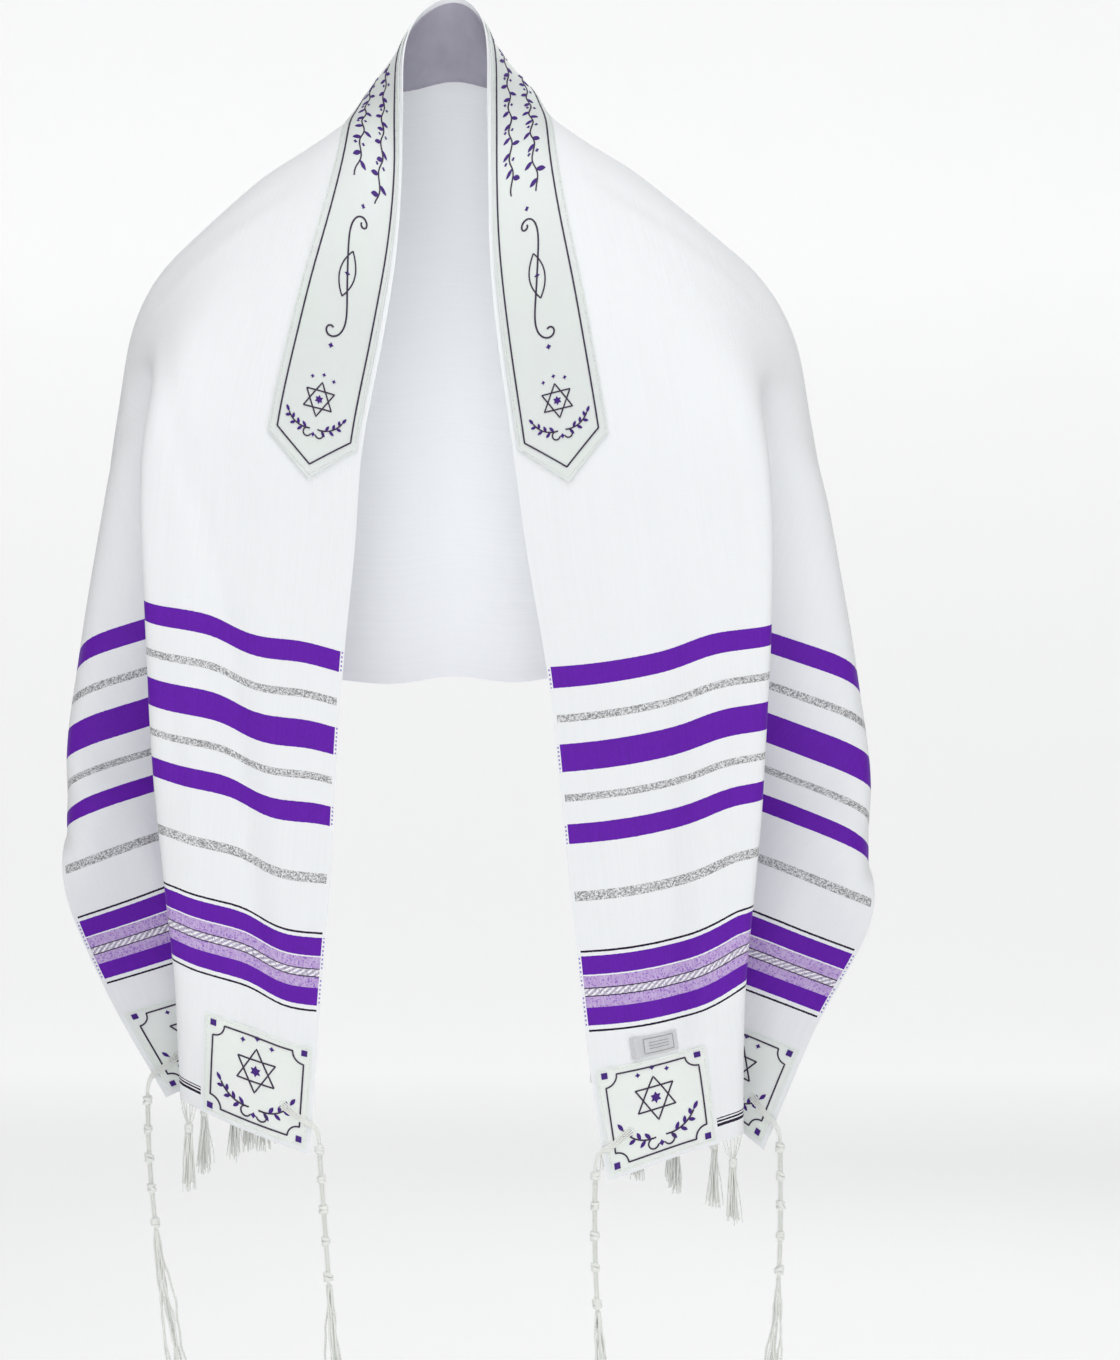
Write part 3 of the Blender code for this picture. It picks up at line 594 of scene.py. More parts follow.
def cut_from(drape, name, along, across, lift, thickness, finish):
    """A sheet laid on the drape, from its places along and across the cloth."""
    along, across = np.broadcast_arrays(along, across)
    places, _ = drape.at(along, across, lift)
    return grid_piece(name, places, np.stack([across, along], axis=-1), thickness, finish)


def settle(piece, slot, *nodes):
    """Tie a finished piece to the shawl and hide the solids that it stands for; the slot is not used.
    """
    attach(piece, "root")
    if nodes:
        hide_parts(*nodes)
    return piece


class Finish:
    """A finish's nodes, with short ways to add them."""

    def __init__(self, name, roughness, sheen=0.0, specular=0.5):
        self.material = bpy.data.materials.new(name)
        self.material.use_nodes = True
        self.tree = self.material.node_tree
        self.shader = self.tree.nodes["Principled BSDF"]
        self.shader.inputs["Roughness"].default_value = roughness
        self.shader.inputs["Sheen Weight"].default_value = sheen
        self.shader.inputs["Sheen Roughness"].default_value = 0.45
        self.shader.inputs["Specular IOR Level"].default_value = specular

    def put(self, socket, value):
        if isinstance(value, bpy.types.NodeSocket):
            self.tree.links.new(value, socket)
        elif hasattr(value, "__len__") and socket.type == "RGBA":
            socket.default_value = (*value[:3], 1.0)
        else:
            socket.default_value = value

    def node(self, kind, *values, **settings):
        made = self.tree.nodes.new(kind)
        for key, value in settings.items():
            setattr(made, key, value)
        for socket, value in zip(made.inputs, values):
            if value is not None:
                self.put(socket, value)
        return made

    def math(self, operation, *values):
        return self.node("ShaderNodeMath", *values, operation=operation).outputs[0]

    def times(self, first, second):
        return self.math("MULTIPLY", first, second)

    def plus(self, first, second):
        return self.math("ADD", first, second)

    def above(self, value, limit):
        """1 where a value is over a limit, else 0."""
        return self.math("GREATER_THAN", value, limit)

    def wave(self, value, pitch):
        """A sine along a distance, one turn to each pitch."""
        return self.math("SINE", self.times(value, 2 * math.pi / pitch))

    def streaked(self, across, along, across_scale, along_scale, detail):
        """Noise drawn out along one thread direction."""
        stretched = self.vector(self.times(across, across_scale), self.times(along, along_scale), 0.0)
        return self.noise(stretched, 1.0, detail)

    def mix(self, share, first, second):
        made = self.tree.nodes.new("ShaderNodeMix")
        made.data_type = "RGBA"
        for index, value in ((0, share), (6, first), (7, second)):
            self.put(made.inputs[index], value)
        return made.outputs[2]

    def vector(self, *values):
        return self.node("ShaderNodeCombineXYZ", *values).outputs[0]

    def noise(self, place, scale, detail=2.0, rough=0.5):
        made = self.node("ShaderNodeTexNoise", place)
        made.inputs["Scale"].default_value = scale
        made.inputs["Detail"].default_value = detail
        made.inputs["Roughness"].default_value = rough
        return made.outputs["Fac"]

    def cells(self, place, across, along):
        """A random value for each small cell, the size of one float of thread."""
        snapped = self.node("ShaderNodeVectorMath", place, (across, along, 1.0), operation="SNAP")
        made = self.node("ShaderNodeTexWhiteNoise", snapped.outputs[0], noise_dimensions="2D")
        return made.outputs["Value"]

    def weave(self):
        """The place on the cut cloth in metres: the vector, across, and signed along."""
        place = self.node("ShaderNodeUVMap", uv_map="weave").outputs[0]
        parts = self.node("ShaderNodeSeparateXYZ", place).outputs
        return place, parts[0], parts[1]

    def here(self):
        return self.node("ShaderNodeTexCoord").outputs["Object"]

    def band(self, value, low, high):
        """1 between two values and 0 outside them."""
        return self.math("COMPARE", value, (low + high) / 2, (high - low) / 2)

    def most(self, values):
        total = values[0]
        for value in values[1:]:
            total = self.math("MAXIMUM", total, value)
        return total

    def bump(self, height, distance, strength):
        made = self.tree.nodes.new("ShaderNodeBump")
        made.inputs["Distance"].default_value = distance
        made.inputs["Strength"].default_value = strength
        self.put(made.inputs["Height"], height)
        self.put(self.shader.inputs["Normal"], made.outputs[0])

    def colour(self, value):
        self.put(self.shader.inputs["Base Color"], value)


def woven_cloth(colours):
    """Cool white plain weave with woven purple, lilac and metallic bands up to its selvedges."""
    finish = Finish("woven_cloth", 0.78, 0.03, 0.2)
    place, across, along = finish.weave()
    wander = finish.math("MULTIPLY_ADD", finish.noise(place, 420.0, 1.0), 0.0005, -0.00025)
    from_hem = finish.math("SUBTRACT", HALF_LENGTH, finish.math("ABSOLUTE", along))
    from_hem = finish.plus(from_hem, wander)
    inside = finish.band(across, SELVEDGE, WIDTH - SELVEDGE)
    masks, low = {}, 0.0
    for kind, depth in WOVEN:
        high = low + depth * MM
        if kind != "white":
            masks.setdefault(kind, []).append(finish.band(from_hem, low, high))
        low = high
    coloured = masks["purple"] + masks["lilac"]
    masks = {kind: finish.times(finish.most(found), inside) for kind, found in masks.items()}
    between = finish.band(across, HEM_LINE_ENDS, WIDTH - HEM_LINE_ENDS)
    hem_lines = finish.most([finish.band(from_hem, at - depth / 2, at + depth / 2)
                             for at, depth in HEM_LINES])
    hem_lines = finish.times(hem_lines, between)

    # warp streaks that run the length of the cloth, and slubs across it
    streaks = finish.streaked(across, along, 620.0, 9.0, 3.0)
    slubs = finish.streaked(across, along, 24.0, 900.0, 2.0)
    ground = finish.mix(finish.times(streaks, 0.55), colours.white, scaled(colours.white, 0.90))
    ground = finish.mix(finish.times(slubs, 0.16), ground, scaled(colours.white, 0.86))

    deep = colours.purple_deep
    purple = finish.mix(finish.cells(place, 0.0007, 0.0021), colours.purple,
                        tuple(0.72 * a + 0.28 * b for a, b in zip(colours.purple, deep)))
    purple = finish.mix(finish.times(streaks, 0.5), purple, deep)
    mottle = finish.times(finish.cells(place, 0.0008, 0.0026), 0.75)
    lilac = finish.mix(mottle, colours.lilac, tuple(0.30 + 0.70 * v for v in colours.lilac))
    dropped = finish.above(finish.cells(place, 0.0011, 0.0009), 0.86)
    lilac = finish.mix(finish.times(dropped, 0.55), lilac, colours.purple)

    speckle = finish.cells(place, 0.0008, 0.0008)
    silver = finish.mix(finish.above(speckle, 0.30), scaled(colours.silver, 0.50), colours.silver)
    silver = finish.mix(finish.above(speckle, 0.74), silver, linear("E0E1E2"))
    slant = finish.wave(finish.plus(across, finish.times(along, 1.4)), 0.0052)
    braid = finish.mix(finish.above(slant, 0.15), linear("B7AFC4"), linear("EFEDF3"))
    fleck = finish.above(finish.cells(place, 0.0009, 0.0009), 0.8)
    braid = finish.mix(finish.times(fleck, 0.5), braid, linear("6E6578"))

    # purple ends of the bands' weft show as dots on the selvedge
    edge = finish.times(finish.math("SUBTRACT", 1.0, inside), finish.most(
        [finish.band(across, *DOTS), finish.band(across, WIDTH - DOTS[1], WIDTH - DOTS[0])]))
    dotted = finish.above(finish.wave(along, 0.0031), 0.1)
    dots = finish.times(finish.times(edge, finish.most(coloured)), dotted)

    colour = ground
    dark = linear("2A2036")
    for kind, made in (("purple", purple), ("lilac", lilac), ("silver", silver), ("braid", braid),
                       ("dark", dark)):
        colour = finish.mix(masks[kind], colour, made)
    colour = finish.mix(hem_lines, colour, dark)
    finish.colour(finish.mix(finish.times(dots, 0.75), colour, colours.purple))
    metal = finish.times(masks["silver"], finish.above(speckle, 0.36))
    finish.put(finish.shader.inputs["Metallic"], finish.times(metal, 0.30))
    satin_bands = finish.times(finish.most([masks["purple"], masks["lilac"]]), 0.22)
    smoother = finish.plus(satin_bands, finish.times(masks["silver"], 0.40))
    finish.put(finish.shader.inputs["Roughness"], finish.math("SUBTRACT", 0.80, smoother))

    plain = finish.times(finish.wave(across, THREAD), finish.wave(along, THREAD))
    raised = finish.plus(finish.times(plain, 0.25), streaks)
    raised = finish.plus(raised, finish.times(speckle, finish.times(masks["silver"], 0.8)))
    raised = finish.plus(raised, finish.times(finish.most(
        [masks["purple"], masks["lilac"], masks["braid"], masks["dark"]]), 0.5))
    finish.bump(raised, 0.00022, 0.8)
    return finish.material


def satin(name, colour):
    """Off-white satin with a faint green-grey cast and a fine crosswise grain."""
    finish = Finish(name, 0.42, 0.05, 0.4)
    place, across, along = finish.weave()
    grain = finish.streaked(across, along, 60.0, 1500.0, 3.0)
    cloudy = finish.noise(place, 26.0, 3.0)
    shade = finish.mix(finish.times(grain, 0.5), colour, scaled(colour, 0.90))
    warm = tuple(v * k for v, k in zip(colour, (0.95, 1.03, 0.94)))
    finish.colour(finish.mix(finish.times(finish.math("SUBTRACT", cloudy, 0.35), 1.2), shade, warm))
    finish.put(finish.shader.inputs["Roughness"], finish.math("MULTIPLY_ADD", grain, 0.16, 0.34))
    finish.bump(finish.plus(grain, finish.noise(place, 900.0, 1.0)), 0.00008, 0.7)
    return finish.material


def facing_cloth(colours):
    """Grey-lilac lining cloth with a fine twill."""
    finish = Finish("neck_facing_finish", 0.58, 0.05, 0.3)
    place, across, along = finish.weave()
    twill = finish.wave(finish.plus(across, along), 0.0013)
    cloudy = finish.noise(place, 45.0, 3.0)
    shade = finish.mix(cloudy, scaled(colours.facing, 0.80), scaled(colours.facing, 1.16))
    finish.colour(finish.mix(finish.math("MULTIPLY_ADD", twill, 0.08, 0.08), shade,
                             scaled(colours.facing, 0.6)))
    finish.bump(finish.plus(twill, cloudy), 0.00008, 0.6)
    return finish.material


def ribbon_grey(colours):
    """Grey satin ribbon with a fine rib."""
    finish = Finish("label_ribbon", 0.40, 0.05, 0.4)
    place, _, along = finish.weave()
    rib = finish.wave(along, 0.0009)
    flecks = finish.times(finish.cells(place, 0.0012, 0.0005), 0.3)
    shade = finish.mix(flecks, colours.label, scaled(colours.label, 0.72))
    finish.colour(finish.mix(finish.math("MULTIPLY_ADD", rib, 0.10, 0.10), shade,
                             scaled(colours.label, 0.7)))
    finish.bump(rib, 0.00006, 0.6)
    return finish.material


def line_yarn(name, colour):
    """Dark weft floats of the drawn lines and filled shapes."""
    finish = Finish(name, 0.55, 0.02, 0.2)
    fleck = finish.noise(finish.here(), 1400.0, 2.0)
    lit = tuple(min(v * 1.5 + 0.012, 1.0) for v in colour)
    finish.colour(finish.mix(fleck, scaled(colour, 0.75), lit))
    finish.bump(fleck, 0.00006, 0.5)
    return finish.material


def wool(name, colour):
    """Soft white yarn with loose fibres."""
    finish = Finish(name, 0.82, 0.08, 0.2)
    here = finish.here()
    fibres = finish.noise(here, 1900.0, 3.0, 0.65)
    uneven = finish.noise(here, 90.0, 2.0)
    shade = finish.mix(finish.times(fibres, 0.6), colour, scaled(colour, 0.80))
    finish.colour(finish.mix(finish.times(uneven, 0.25), shade,
                             tuple(v * k for v, k in zip(colour, (0.90, 0.93, 0.86)))))
    finish.bump(fibres, 0.00018, 0.7)
    return finish.material


def room_finish(colours):
    """Plain pale paper, a little brighter than its light alone would make it."""
    finish = Finish("room_paper", 0.95)
    mottle = finish.noise(finish.here(), 3.0, 2.0)
    shade = finish.mix(mottle, colours.room, scaled(colours.room, 0.992))
    finish.colour(shade)
    finish.put(finish.shader.inputs["Emission Color"], shade)
    # the backdrop has its own light, which starts behind the shawl
    behind = finish.node("ShaderNodeSeparateXYZ", finish.here()).outputs[1]
    share = finish.node("ShaderNodeMapRange", behind, *GLOW_FROM_TO, *GLOW).outputs[0]
    finish.put(finish.shader.inputs["Emission Strength"], share)
    return finish.material


class LineWork:
    """Thin closed strips and filled shapes that follow the draped surface."""

    def __init__(self, drape, low, high):
        self.drape, self.low, self.high = drape, low, high
        self.points, self.faces = [], []

    def add(self, points, faces):
        start = len(self.points)
        self.points += [tuple(p) for p in points]
        self.faces += [tuple(start + i for i in face) for face in faces]

    def line(self, spots, width, closed=False):
        """A strip along spots, each (signed along, across)."""
        spots = np.asarray(spots, float)
        if closed:
            spots = np.vstack([spots, spots[:1]])
        reach = distances(spots)
        count = max(3, int(reach[-1] / 0.0016))
        even = np.linspace(0, reach[-1], count + 1)
        corner = np.unique(np.concatenate([even, reach[1:-1]]))
        spots = np.stack([np.interp(corner, reach, spots[:, k]) for k in range(2)], axis=1)
        if closed:
            spots = spots[:-1]
        place, out = self.drape.at(spots[:, 0], spots[:, 1])
        if closed:
            ahead = unit(np.roll(place, -1, 0) - np.roll(place, 1, 0))
        else:
            ahead = unit(np.gradient(place, axis=0))
        side = unit(np.cross(out, ahead)) * width / 2
        rings = np.stack([place + side + out * self.low, place + side + out * self.high,
                          place - side + out * self.high, place - side + out * self.low], axis=1)
        n = len(rings)
        faces = []
        for i in range(n if closed else n - 1):
            j = (i + 1) % n
            for k in range(4):
                m = (k + 1) % 4
                faces.append((4 * i + k, 4 * i + m, 4 * j + m, 4 * j + k))
        if not closed:
            faces += [(3, 2, 1, 0), (4 * n - 4, 4 * n - 3, 4 * n - 2, 4 * n - 1)]
        self.add(rings.reshape(-1, 3), faces)

    def shape(self, spots):
        """A filled shape, its outline seen in turn from its middle."""
        spots = np.asarray(spots, float)
        n = len(spots)
        middle = spots.mean(axis=0)
        top, out = self.drape.at(spots[:, 0], spots[:, 1], self.high)
        hub, hub_out = self.drape.at(middle[0], middle[1], self.high)
        bottom = top - out * (self.high - self.low)
        points = list(top) + list(bottom) + [hub, hub - hub_out * (self.high - self.low)]
        faces = []
        for i in range(n):
            j = (i + 1) % n
            faces += [(i, j, 2 * n), (n + j, n + i, 2 * n + 1), (j, i, n + i, n + j)]
        self.add(points, faces)

    def finish(self, name, material):
        piece = new_piece(name, self.points, self.faces, material)
        face_outwards(piece)
        return settle(piece, "satin")


class Ground:
    """A flat drawing in millimetres, x to the viewer's right and y up, laid on the cloth."""

    def __init__(self, side, along, across):
        self.sign = -1 if side == "left" else 1
        self.along, self.across = along, across

    def __call__(self, spots):
        spots = np.asarray(spots, float) * MM
        return np.stack([self.sign * (self.along - spots[:, 1]),
                         self.across + self.sign * spots[:, 0]], axis=1)


def arc(centre, radius, start, end, count=12):
    turn = np.radians(np.linspace(start, end, count))
    return np.stack([centre[0] + radius * np.cos(turn), centre[1] + radius * np.sin(turn)], axis=1)


def star(centre, radius, points=6, inner=0.577):
    turn = [math.pi / 2 + math.pi * i / points for i in range(2 * points)]
    return np.array([(centre[0] + (radius if i % 2 == 0 else radius * inner) * math.cos(a),
                      centre[1] + (radius if i % 2 == 0 else radius * inner) * math.sin(a))
                     for i, a in enumerate(turn)])


def leaf(foot, turn, length, width):
    """A pointed leaf from its foot, turned in degrees from the x axis."""
    u = np.linspace(0, 1, 7)
    half = width / 2 * np.sin(math.pi * u)**0.8
    side = np.concatenate([np.stack([u * length, half], axis=1),
                           np.stack([u * length, -half], axis=1)[-2:0:-1]])
    c, s = math.cos(math.radians(turn)), math.sin(math.radians(turn))
    return np.stack([foot[0] + side[:, 0] * c - side[:, 1] * s,
                     foot[1] + side[:, 0] * s + side[:, 1] * c], axis=1)


def scroll(height, curl, count=121):
    """A double scroll that winds in at both ends, from bends that tighten towards them."""
    s = np.linspace(-1, 1, count)
    turn = np.cumsum(curl * np.sign(s) * np.abs(s)**3.8) * (s[1] - s[0])
    turn -= turn[count // 2]
    heading = math.pi / 2 + turn - 0.25
    step = np.stack([np.cos(heading), np.sin(heading)], axis=1)
    spots = np.cumsum(step, axis=0)
    spots -= spots[count // 2]
    return spots * height / np.ptp(spots[:, 1])


def lens(height, width, count=13):
    u = np.linspace(-1, 1, count)
    return np.stack([width / 2 * (1 - u**2), u * height / 2], axis=1)


def sprig(lines, shapes, ground, foot, ahead, bend, length, leaves, size, width):
    """A curved stem with leaves in turn on its two sides."""
    u = np.linspace(0, 1, 15)
    heading = np.radians(ahead + bend * u)
    step = np.stack([np.cos(heading), np.sin(heading)], axis=1) * length / 15
    stem = np.array(foot) + np.cumsum(step, axis=0)
    lines.line(ground(stem), width)
    for k in range(leaves):
        at = int(2 + k * 12 / leaves)
        turn = math.degrees(heading[at]) + (52 if k % 2 else -52)
        shapes.shape(ground(leaf(stem[at], turn, size * (1 - 0.04 * k), size * 0.42)))
    shapes.shape(ground(leaf(stem[-1], math.degrees(heading[-1]), size, size * 0.42)))


def star_motif(lines, shapes, ground, scale, width):
    """A six-pointed star over two leafy sprigs, with small lozenges above it."""
    for turn in (90, -90):
        corners = arc((0, 6 * scale), 13.5 * scale, turn, turn + 240, 3)
        lines.line(ground(corners), width, closed=True)
    shapes.shape(ground(star((0, 6 * scale), 3.6 * scale)))
    for x, y in ((-9, 22.5), (0, 25.5), (9, 22.5)):
        shapes.shape(ground(star((x * scale, y * scale), 1.7 * scale, 4, 0.55)))
    for side in (-1, 1):
        ahead = 190 if side < 0 else -10
        sprig(lines, shapes, ground, (side * 1.5 * scale, -17 * scale), ahead, side * 68,
              24 * scale, 6, 5.6 * scale, width)
        lines.line(ground(arc((side * 5 * scale, -20.5 * scale), 3.2 * scale,
                              90, 90 - side * 250, 16)), width)
    shapes.shape(ground(star((0, -21.5 * scale), 2.0 * scale, 4, 0.6)))


def add_stitches(yarns, drape, spots, lift, pitch=0.0034, length=0.0024, radius=0.00022):
    """A row of machine stitches along spots of (signed along, across)."""
    spots = np.asarray(spots, float)
    reach = distances(spots)
    for start in np.arange(pitch / 2, reach[-1] - length, pitch):
        at = np.array([start, start + length * 0.5, start + length])
        a, t = (np.interp(at, reach, spots[:, k]) for k in range(2))
        place, _ = drape.at(a, t, np.array([lift, lift + radius, lift]))
        yarns.tube(place, radius, 5)


def across_guide(ahead):
    """A direction that isn't along the yarn."""
    return np.array((0.0, 1.0, 0.0)) if abs(ahead[1]) < 0.9 else np.array((1.0, 0.0, 0.0))


class Yarns:
    """Many closed tubes of yarn in one mesh."""

    def __init__(self):
        self.points, self.faces = [], []

    def tube(self, path, radius, sides, pitch=None, phase=0.0, plump=0.24):
        """A tube along a path. With a pitch it is two plies twisted round each other."""
        path = np.asarray(path, float)
        n = len(path)
        ahead = unit(np.gradient(path, axis=0))
        guide = across_guide(ahead[0])
        across = np.zeros((n, 3))
        for i in range(n):
            guide = guide - ahead[i] * np.dot(guide, ahead[i])
            guide = guide / math.dist(guide, (0, 0, 0))
            across[i] = guide
        third = np.cross(ahead, across)
        radii = np.broadcast_to(np.asarray(radius, float), (n,))
        turn = np.arange(sides) * 2 * math.pi / sides
        size = np.repeat(radii[:, None], sides, axis=1)
        if pitch:
            reach = distances(path)
            wound = turn[None, :] - reach[:, None] * 2 * math.pi / pitch + phase
            size = size * (1 - plump + plump * np.cos(2 * wound))
        round_it = (np.cos(turn)[None, :, None] * across[:, None, :]
                    + np.sin(turn)[None, :, None] * third[:, None, :])
        rings = path[:, None, :] + size[..., None] * round_it
        start = len(self.points)
        self.points += rings.reshape(-1, 3).tolist()
        for i in range(n - 1):
            low, high = start + i * sides, start + (i + 1) * sides
            for k in range(sides):
                m = (k + 1) % sides
                self.faces.append((low + k, low + m, high + m, high + k))
        self.faces.append(tuple(range(start + sides - 1, start - 1, -1)))
        last = start + (n - 1) * sides
        self.faces.append(tuple(range(last, last + sides)))

    def coil(self, path, radius, wire, pitch, phase=0.0):
        """Yarn wound round a path."""
        fine, reach = resample(path, pitch / 10)
        ahead = unit(np.gradient(fine, axis=0))
        guide = across_guide(ahead[0])
        across = unit(guide[None, :] - ahead * (ahead @ guide)[:, None])
        third = np.cross(ahead, across)
        turn = reach * 2 * math.pi / pitch + phase
        self.tube(fine + radius * (np.cos(turn)[:, None] * across + np.sin(turn)[:, None] * third),
                  wire, 6)

    def knot(self, centre, ahead, size, order):
        """Loops drawn tight round the stem, each tilted its own way."""
        ahead = unit(np.asarray(ahead, float))
        across = unit(np.cross(across_guide(ahead), ahead))
        third = np.cross(ahead, across)
        turn = np.linspace(0, 2 * math.pi, 17)
        for k, (shift, tilt) in enumerate(((-0.42, 0.35), (0.12, -0.5), (0.5, 0.28), (0.0, 0.9))):
            lean = tilt + 0.15 * math.sin(order * 2.1 + k)
            swing = order * 0.9 + k * 1.7
            ring = (np.cos(turn)[:, None] * across + np.sin(turn)[:, None] * third) * size * 0.62
            rise = ahead * size * shift
            ring = ring + rise + ahead * (size * 0.62 * lean * np.cos(turn + swing))[:, None]
            self.tube(centre + ring, size * 0.36, 7)

    def finish(self, name, material, *nodes, slot="cord"):
        piece = new_piece(name, self.points, self.faces, material)
        piece.data.shade_smooth()
        face_outwards(piece)
        return settle(piece, slot, *nodes)


def resample(path, step):
    """Evenly spaced points along a path, with the distance to each."""
    path = np.asarray(path, float)
    reach = distances(path)
    even = np.linspace(0, reach[-1], max(3, int(round(reach[-1] / step)) + 1))
    return np.stack([np.interp(even, reach, path[:, k]) for k in range(3)], axis=1), even


def curve_through(stops, count):
    """Evenly spaced points on a smooth curve through the stops."""
    stops = np.array(stops, float)
    reach = distances(stops)
    return np.array([smooth_between(reach, stops, s) for s in np.linspace(0, reach[-1], count)])


def on_cloth(drape, side, across, from_hem, lift=0.0):
    sign = -1 if side == "left" else 1
    return drape.at(sign * (HALF_LENGTH - from_hem), across, lift)


def make_cloth(sizes, colours):
    drape = shawl_drape(sizes)
    signed = np.repeat(drape.along[:, None], drape.across.shape[1], axis=1)
    uv = np.stack([drape.across, signed], axis=-1)
    piece = grid_piece("shawl_cloth", drape.places, uv, sizes.cloth_thickness, woven_cloth(colours))
    settle(piece, "cloth", "cloth")
    return piece


def trim_lift(sizes):
    """The two distances from the cloth's middle between which the satin lies."""
    low = sizes.cloth_thickness / 2 + 0.0002
    return low, low + sizes.satin_thickness


def puckers(along, edge, depth):
    """Small gathers beside a seam, uneven in length and spacing, for distances from that seam."""
    wave = np.sin(along * 2 * math.pi / 0.0105 + 1.3 * np.sin(along * 31.0))
    wave += 0.6 * np.sin(along * 2 * math.pi / 0.0067 + 2.0 * np.sin(along * 17.0 + 1.0))
    return depth * wave * np.exp(-edge / 0.006)


def band_spot(along, across):
    """Where a place of the square-ended neck band lies once its ends are pointed."""
    half = (COLLAR_OUTER - COLLAR_INNER) / 2
    reach = COLLAR_END + COLLAR_POINT * (1 - np.abs(across - COLLAR_MIDDLE) / half)
    from_bend = 0.36        # where the ends start to be drawn out
    size = np.abs(along)
    pointed = from_bend + (size - from_bend) / (COLLAR_END - from_bend) * (reach - from_bend)
    return np.sign(along) * np.where(size > from_bend, pointed, size)


def make_neck_band(sizes, colours):
    drape = shawl_drape(sizes)
    low, high = trim_lift(sizes)
    along = np.linspace(-COLLAR_END, COLLAR_END, 2 * 150 + 1)[:, None]
    across = np.linspace(COLLAR_INNER, COLLAR_OUTER, 25)[None, :]
    spots = band_spot(along, across)
    crown = np.sin(math.pi * (across - COLLAR_INNER) / (COLLAR_OUTER - COLLAR_INNER))
    lift = (low + high) / 2 + 0.0002 * (1 + crown)
    lift = lift + puckers(np.abs(spots), COLLAR_OUTER - across, 0.00030)
    lift = lift + puckers(np.abs(spots) + 0.004, across - COLLAR_INNER, 0.00012)
    piece = cut_from(drape, "neck_satin", spots, across, lift, sizes.satin_thickness,
                     satin("neck_satin_finish", colours.band_satin))
    settle(piece, "satin", "collar_band")
    lines = LineWork(drape, high + LINE_LOW, high + LINE_HIGH)
    shapes = LineWork(drape, high + LINE_LOW, high + LINE_HIGH)
    inset_in, inset_out, inset_point = COLLAR_INNER + 0.0052, COLLAR_OUTER - 0.0068, 0.0105
    shoulder = COLLAR_END - 0.004
    tip = COLLAR_END + COLLAR_POINT - inset_point
    border = [(-shoulder, inset_in), (shoulder, inset_in), (tip, COLLAR_MIDDLE), (shoulder, inset_out),
              (-shoulder, inset_out), (-tip, COLLAR_MIDDLE)]
    lines.line(border, sizes.line_width, closed=True)
    for side in ("left", "right"):
        neck_ornament(lines, shapes, side, sizes.line_width)
    made = [lines.finish("neck_lines", line_yarn("line_yarn", colours.line)),
            shapes.finish("neck_shapes", line_yarn("accent_yarn", colours.accent))]

    stitches = Yarns()
    inset = 0.0016
    steps = np.linspace(-COLLAR_END, COLLAR_END, 200)
    for across_at in (COLLAR_INNER + inset, COLLAR_OUTER - inset):
        add_stitches(stitches, drape, np.stack([steps, np.full(200, across_at)], axis=1), high + 0.0004)
    for sign in (-1, 1):
        chevron = [(sign * COLLAR_END, COLLAR_INNER + inset),
                   (sign * (COLLAR_END + COLLAR_POINT - 2 * inset), COLLAR_MIDDLE),
                   (sign * COLLAR_END, COLLAR_OUTER - inset)]
        add_stitches(stitches, drape, chevron, high + 0.0004)
    made.append(stitches.finish("neck_stitches", wool("stitch_thread", colours.satin), slot="satin"))


def neck_ornament(lines, shapes, side, width):
    """The neck band's drawing on one side: two vines, a double scroll and a star motif."""
    for column, (offset, start, end) in enumerate(VINES):
        ground = Ground(side, start, COLLAR_MIDDLE)
        run = (end - start) / MM
        y = -np.linspace(0, run, 60)
        x = offset + 1.9 * np.sin(y * 2 * math.pi / 30 + column * 1.2)
        lines.line(ground(np.stack([x, y], axis=1)), width * 0.9)
        for k in range(int((run - 4) / VINE_STEP)):
            at = -4 - VINE_STEP * k
            stem = offset + 1.9 * math.sin(at * 2 * math.pi / 30 + column * 1.2)
            if k % 4 == 3:
                for s in (-1, 1):
                    shapes.shape(ground(star((stem + s * 4.2, at), 1.9, 4, 0.6)))
                continue
            turn = -28 if k % 2 else 208
            shapes.shape(ground(leaf((stem, at), turn + 9 * math.sin(k * 2.3), 9.2, 4.2)))
    ground = Ground(side, SCROLL_AT, COLLAR_MIDDLE)
    flip = -1 if side == "left" else 1
    lines.line(ground(scroll(SCROLL_TALL, SCROLL_CURL) * (flip, 1)), width * 1.1)
    for s in (-1, 1):
        lines.line(ground(lens(34.0, s * 13.0)), width * 0.9)
    shapes.shape(ground(star((0, 0), 2.4, 4, 0.5)))
    for y in (53.0, -53.5):
        shapes.shape(ground(star((0, y), 2.1, 4, 0.6)))
    star_motif(lines, shapes, Ground(side, STAR_AT, COLLAR_MIDDLE), BAND_STAR, width * 0.9)


def make_facing(sizes, colours):
    drape = shawl_drape(sizes)
    low, high = trim_lift(sizes)
    along = np.linspace(-FACING_END, FACING_END, 57)[:, None]
    across = np.linspace(COLLAR_INNER, FACING_OUTER, 25)[None, :]
    lift = -(low + high) / 2 - puckers(np.abs(along), FACING_OUTER - across, 0.00025)
    piece = cut_from(drape, "inner_neck_facing", along, across, lift, sizes.satin_thickness,
                     facing_cloth(colours))
    settle(piece, "facing", "neck_facing")
    stitches = Yarns()
    edge = np.linspace(-FACING_END + 0.002, FACING_END - 0.002, 60)
    add_stitches(stitches, drape, np.stack([edge, np.full(60, FACING_OUTER - 0.0018)], axis=1),
                 -high - 0.0001)
    for sign in (-1, 1):
        add_stitches(stitches, drape, [(sign * (FACING_END - 0.0018), COLLAR_INNER + 0.002),
                                       (sign * (FACING_END - 0.0018), FACING_OUTER - 0.002)],
                     -high - 0.0001)
    made = stitches.finish("facing_stitches", wool("facing_thread", colours.facing), slot="facing")


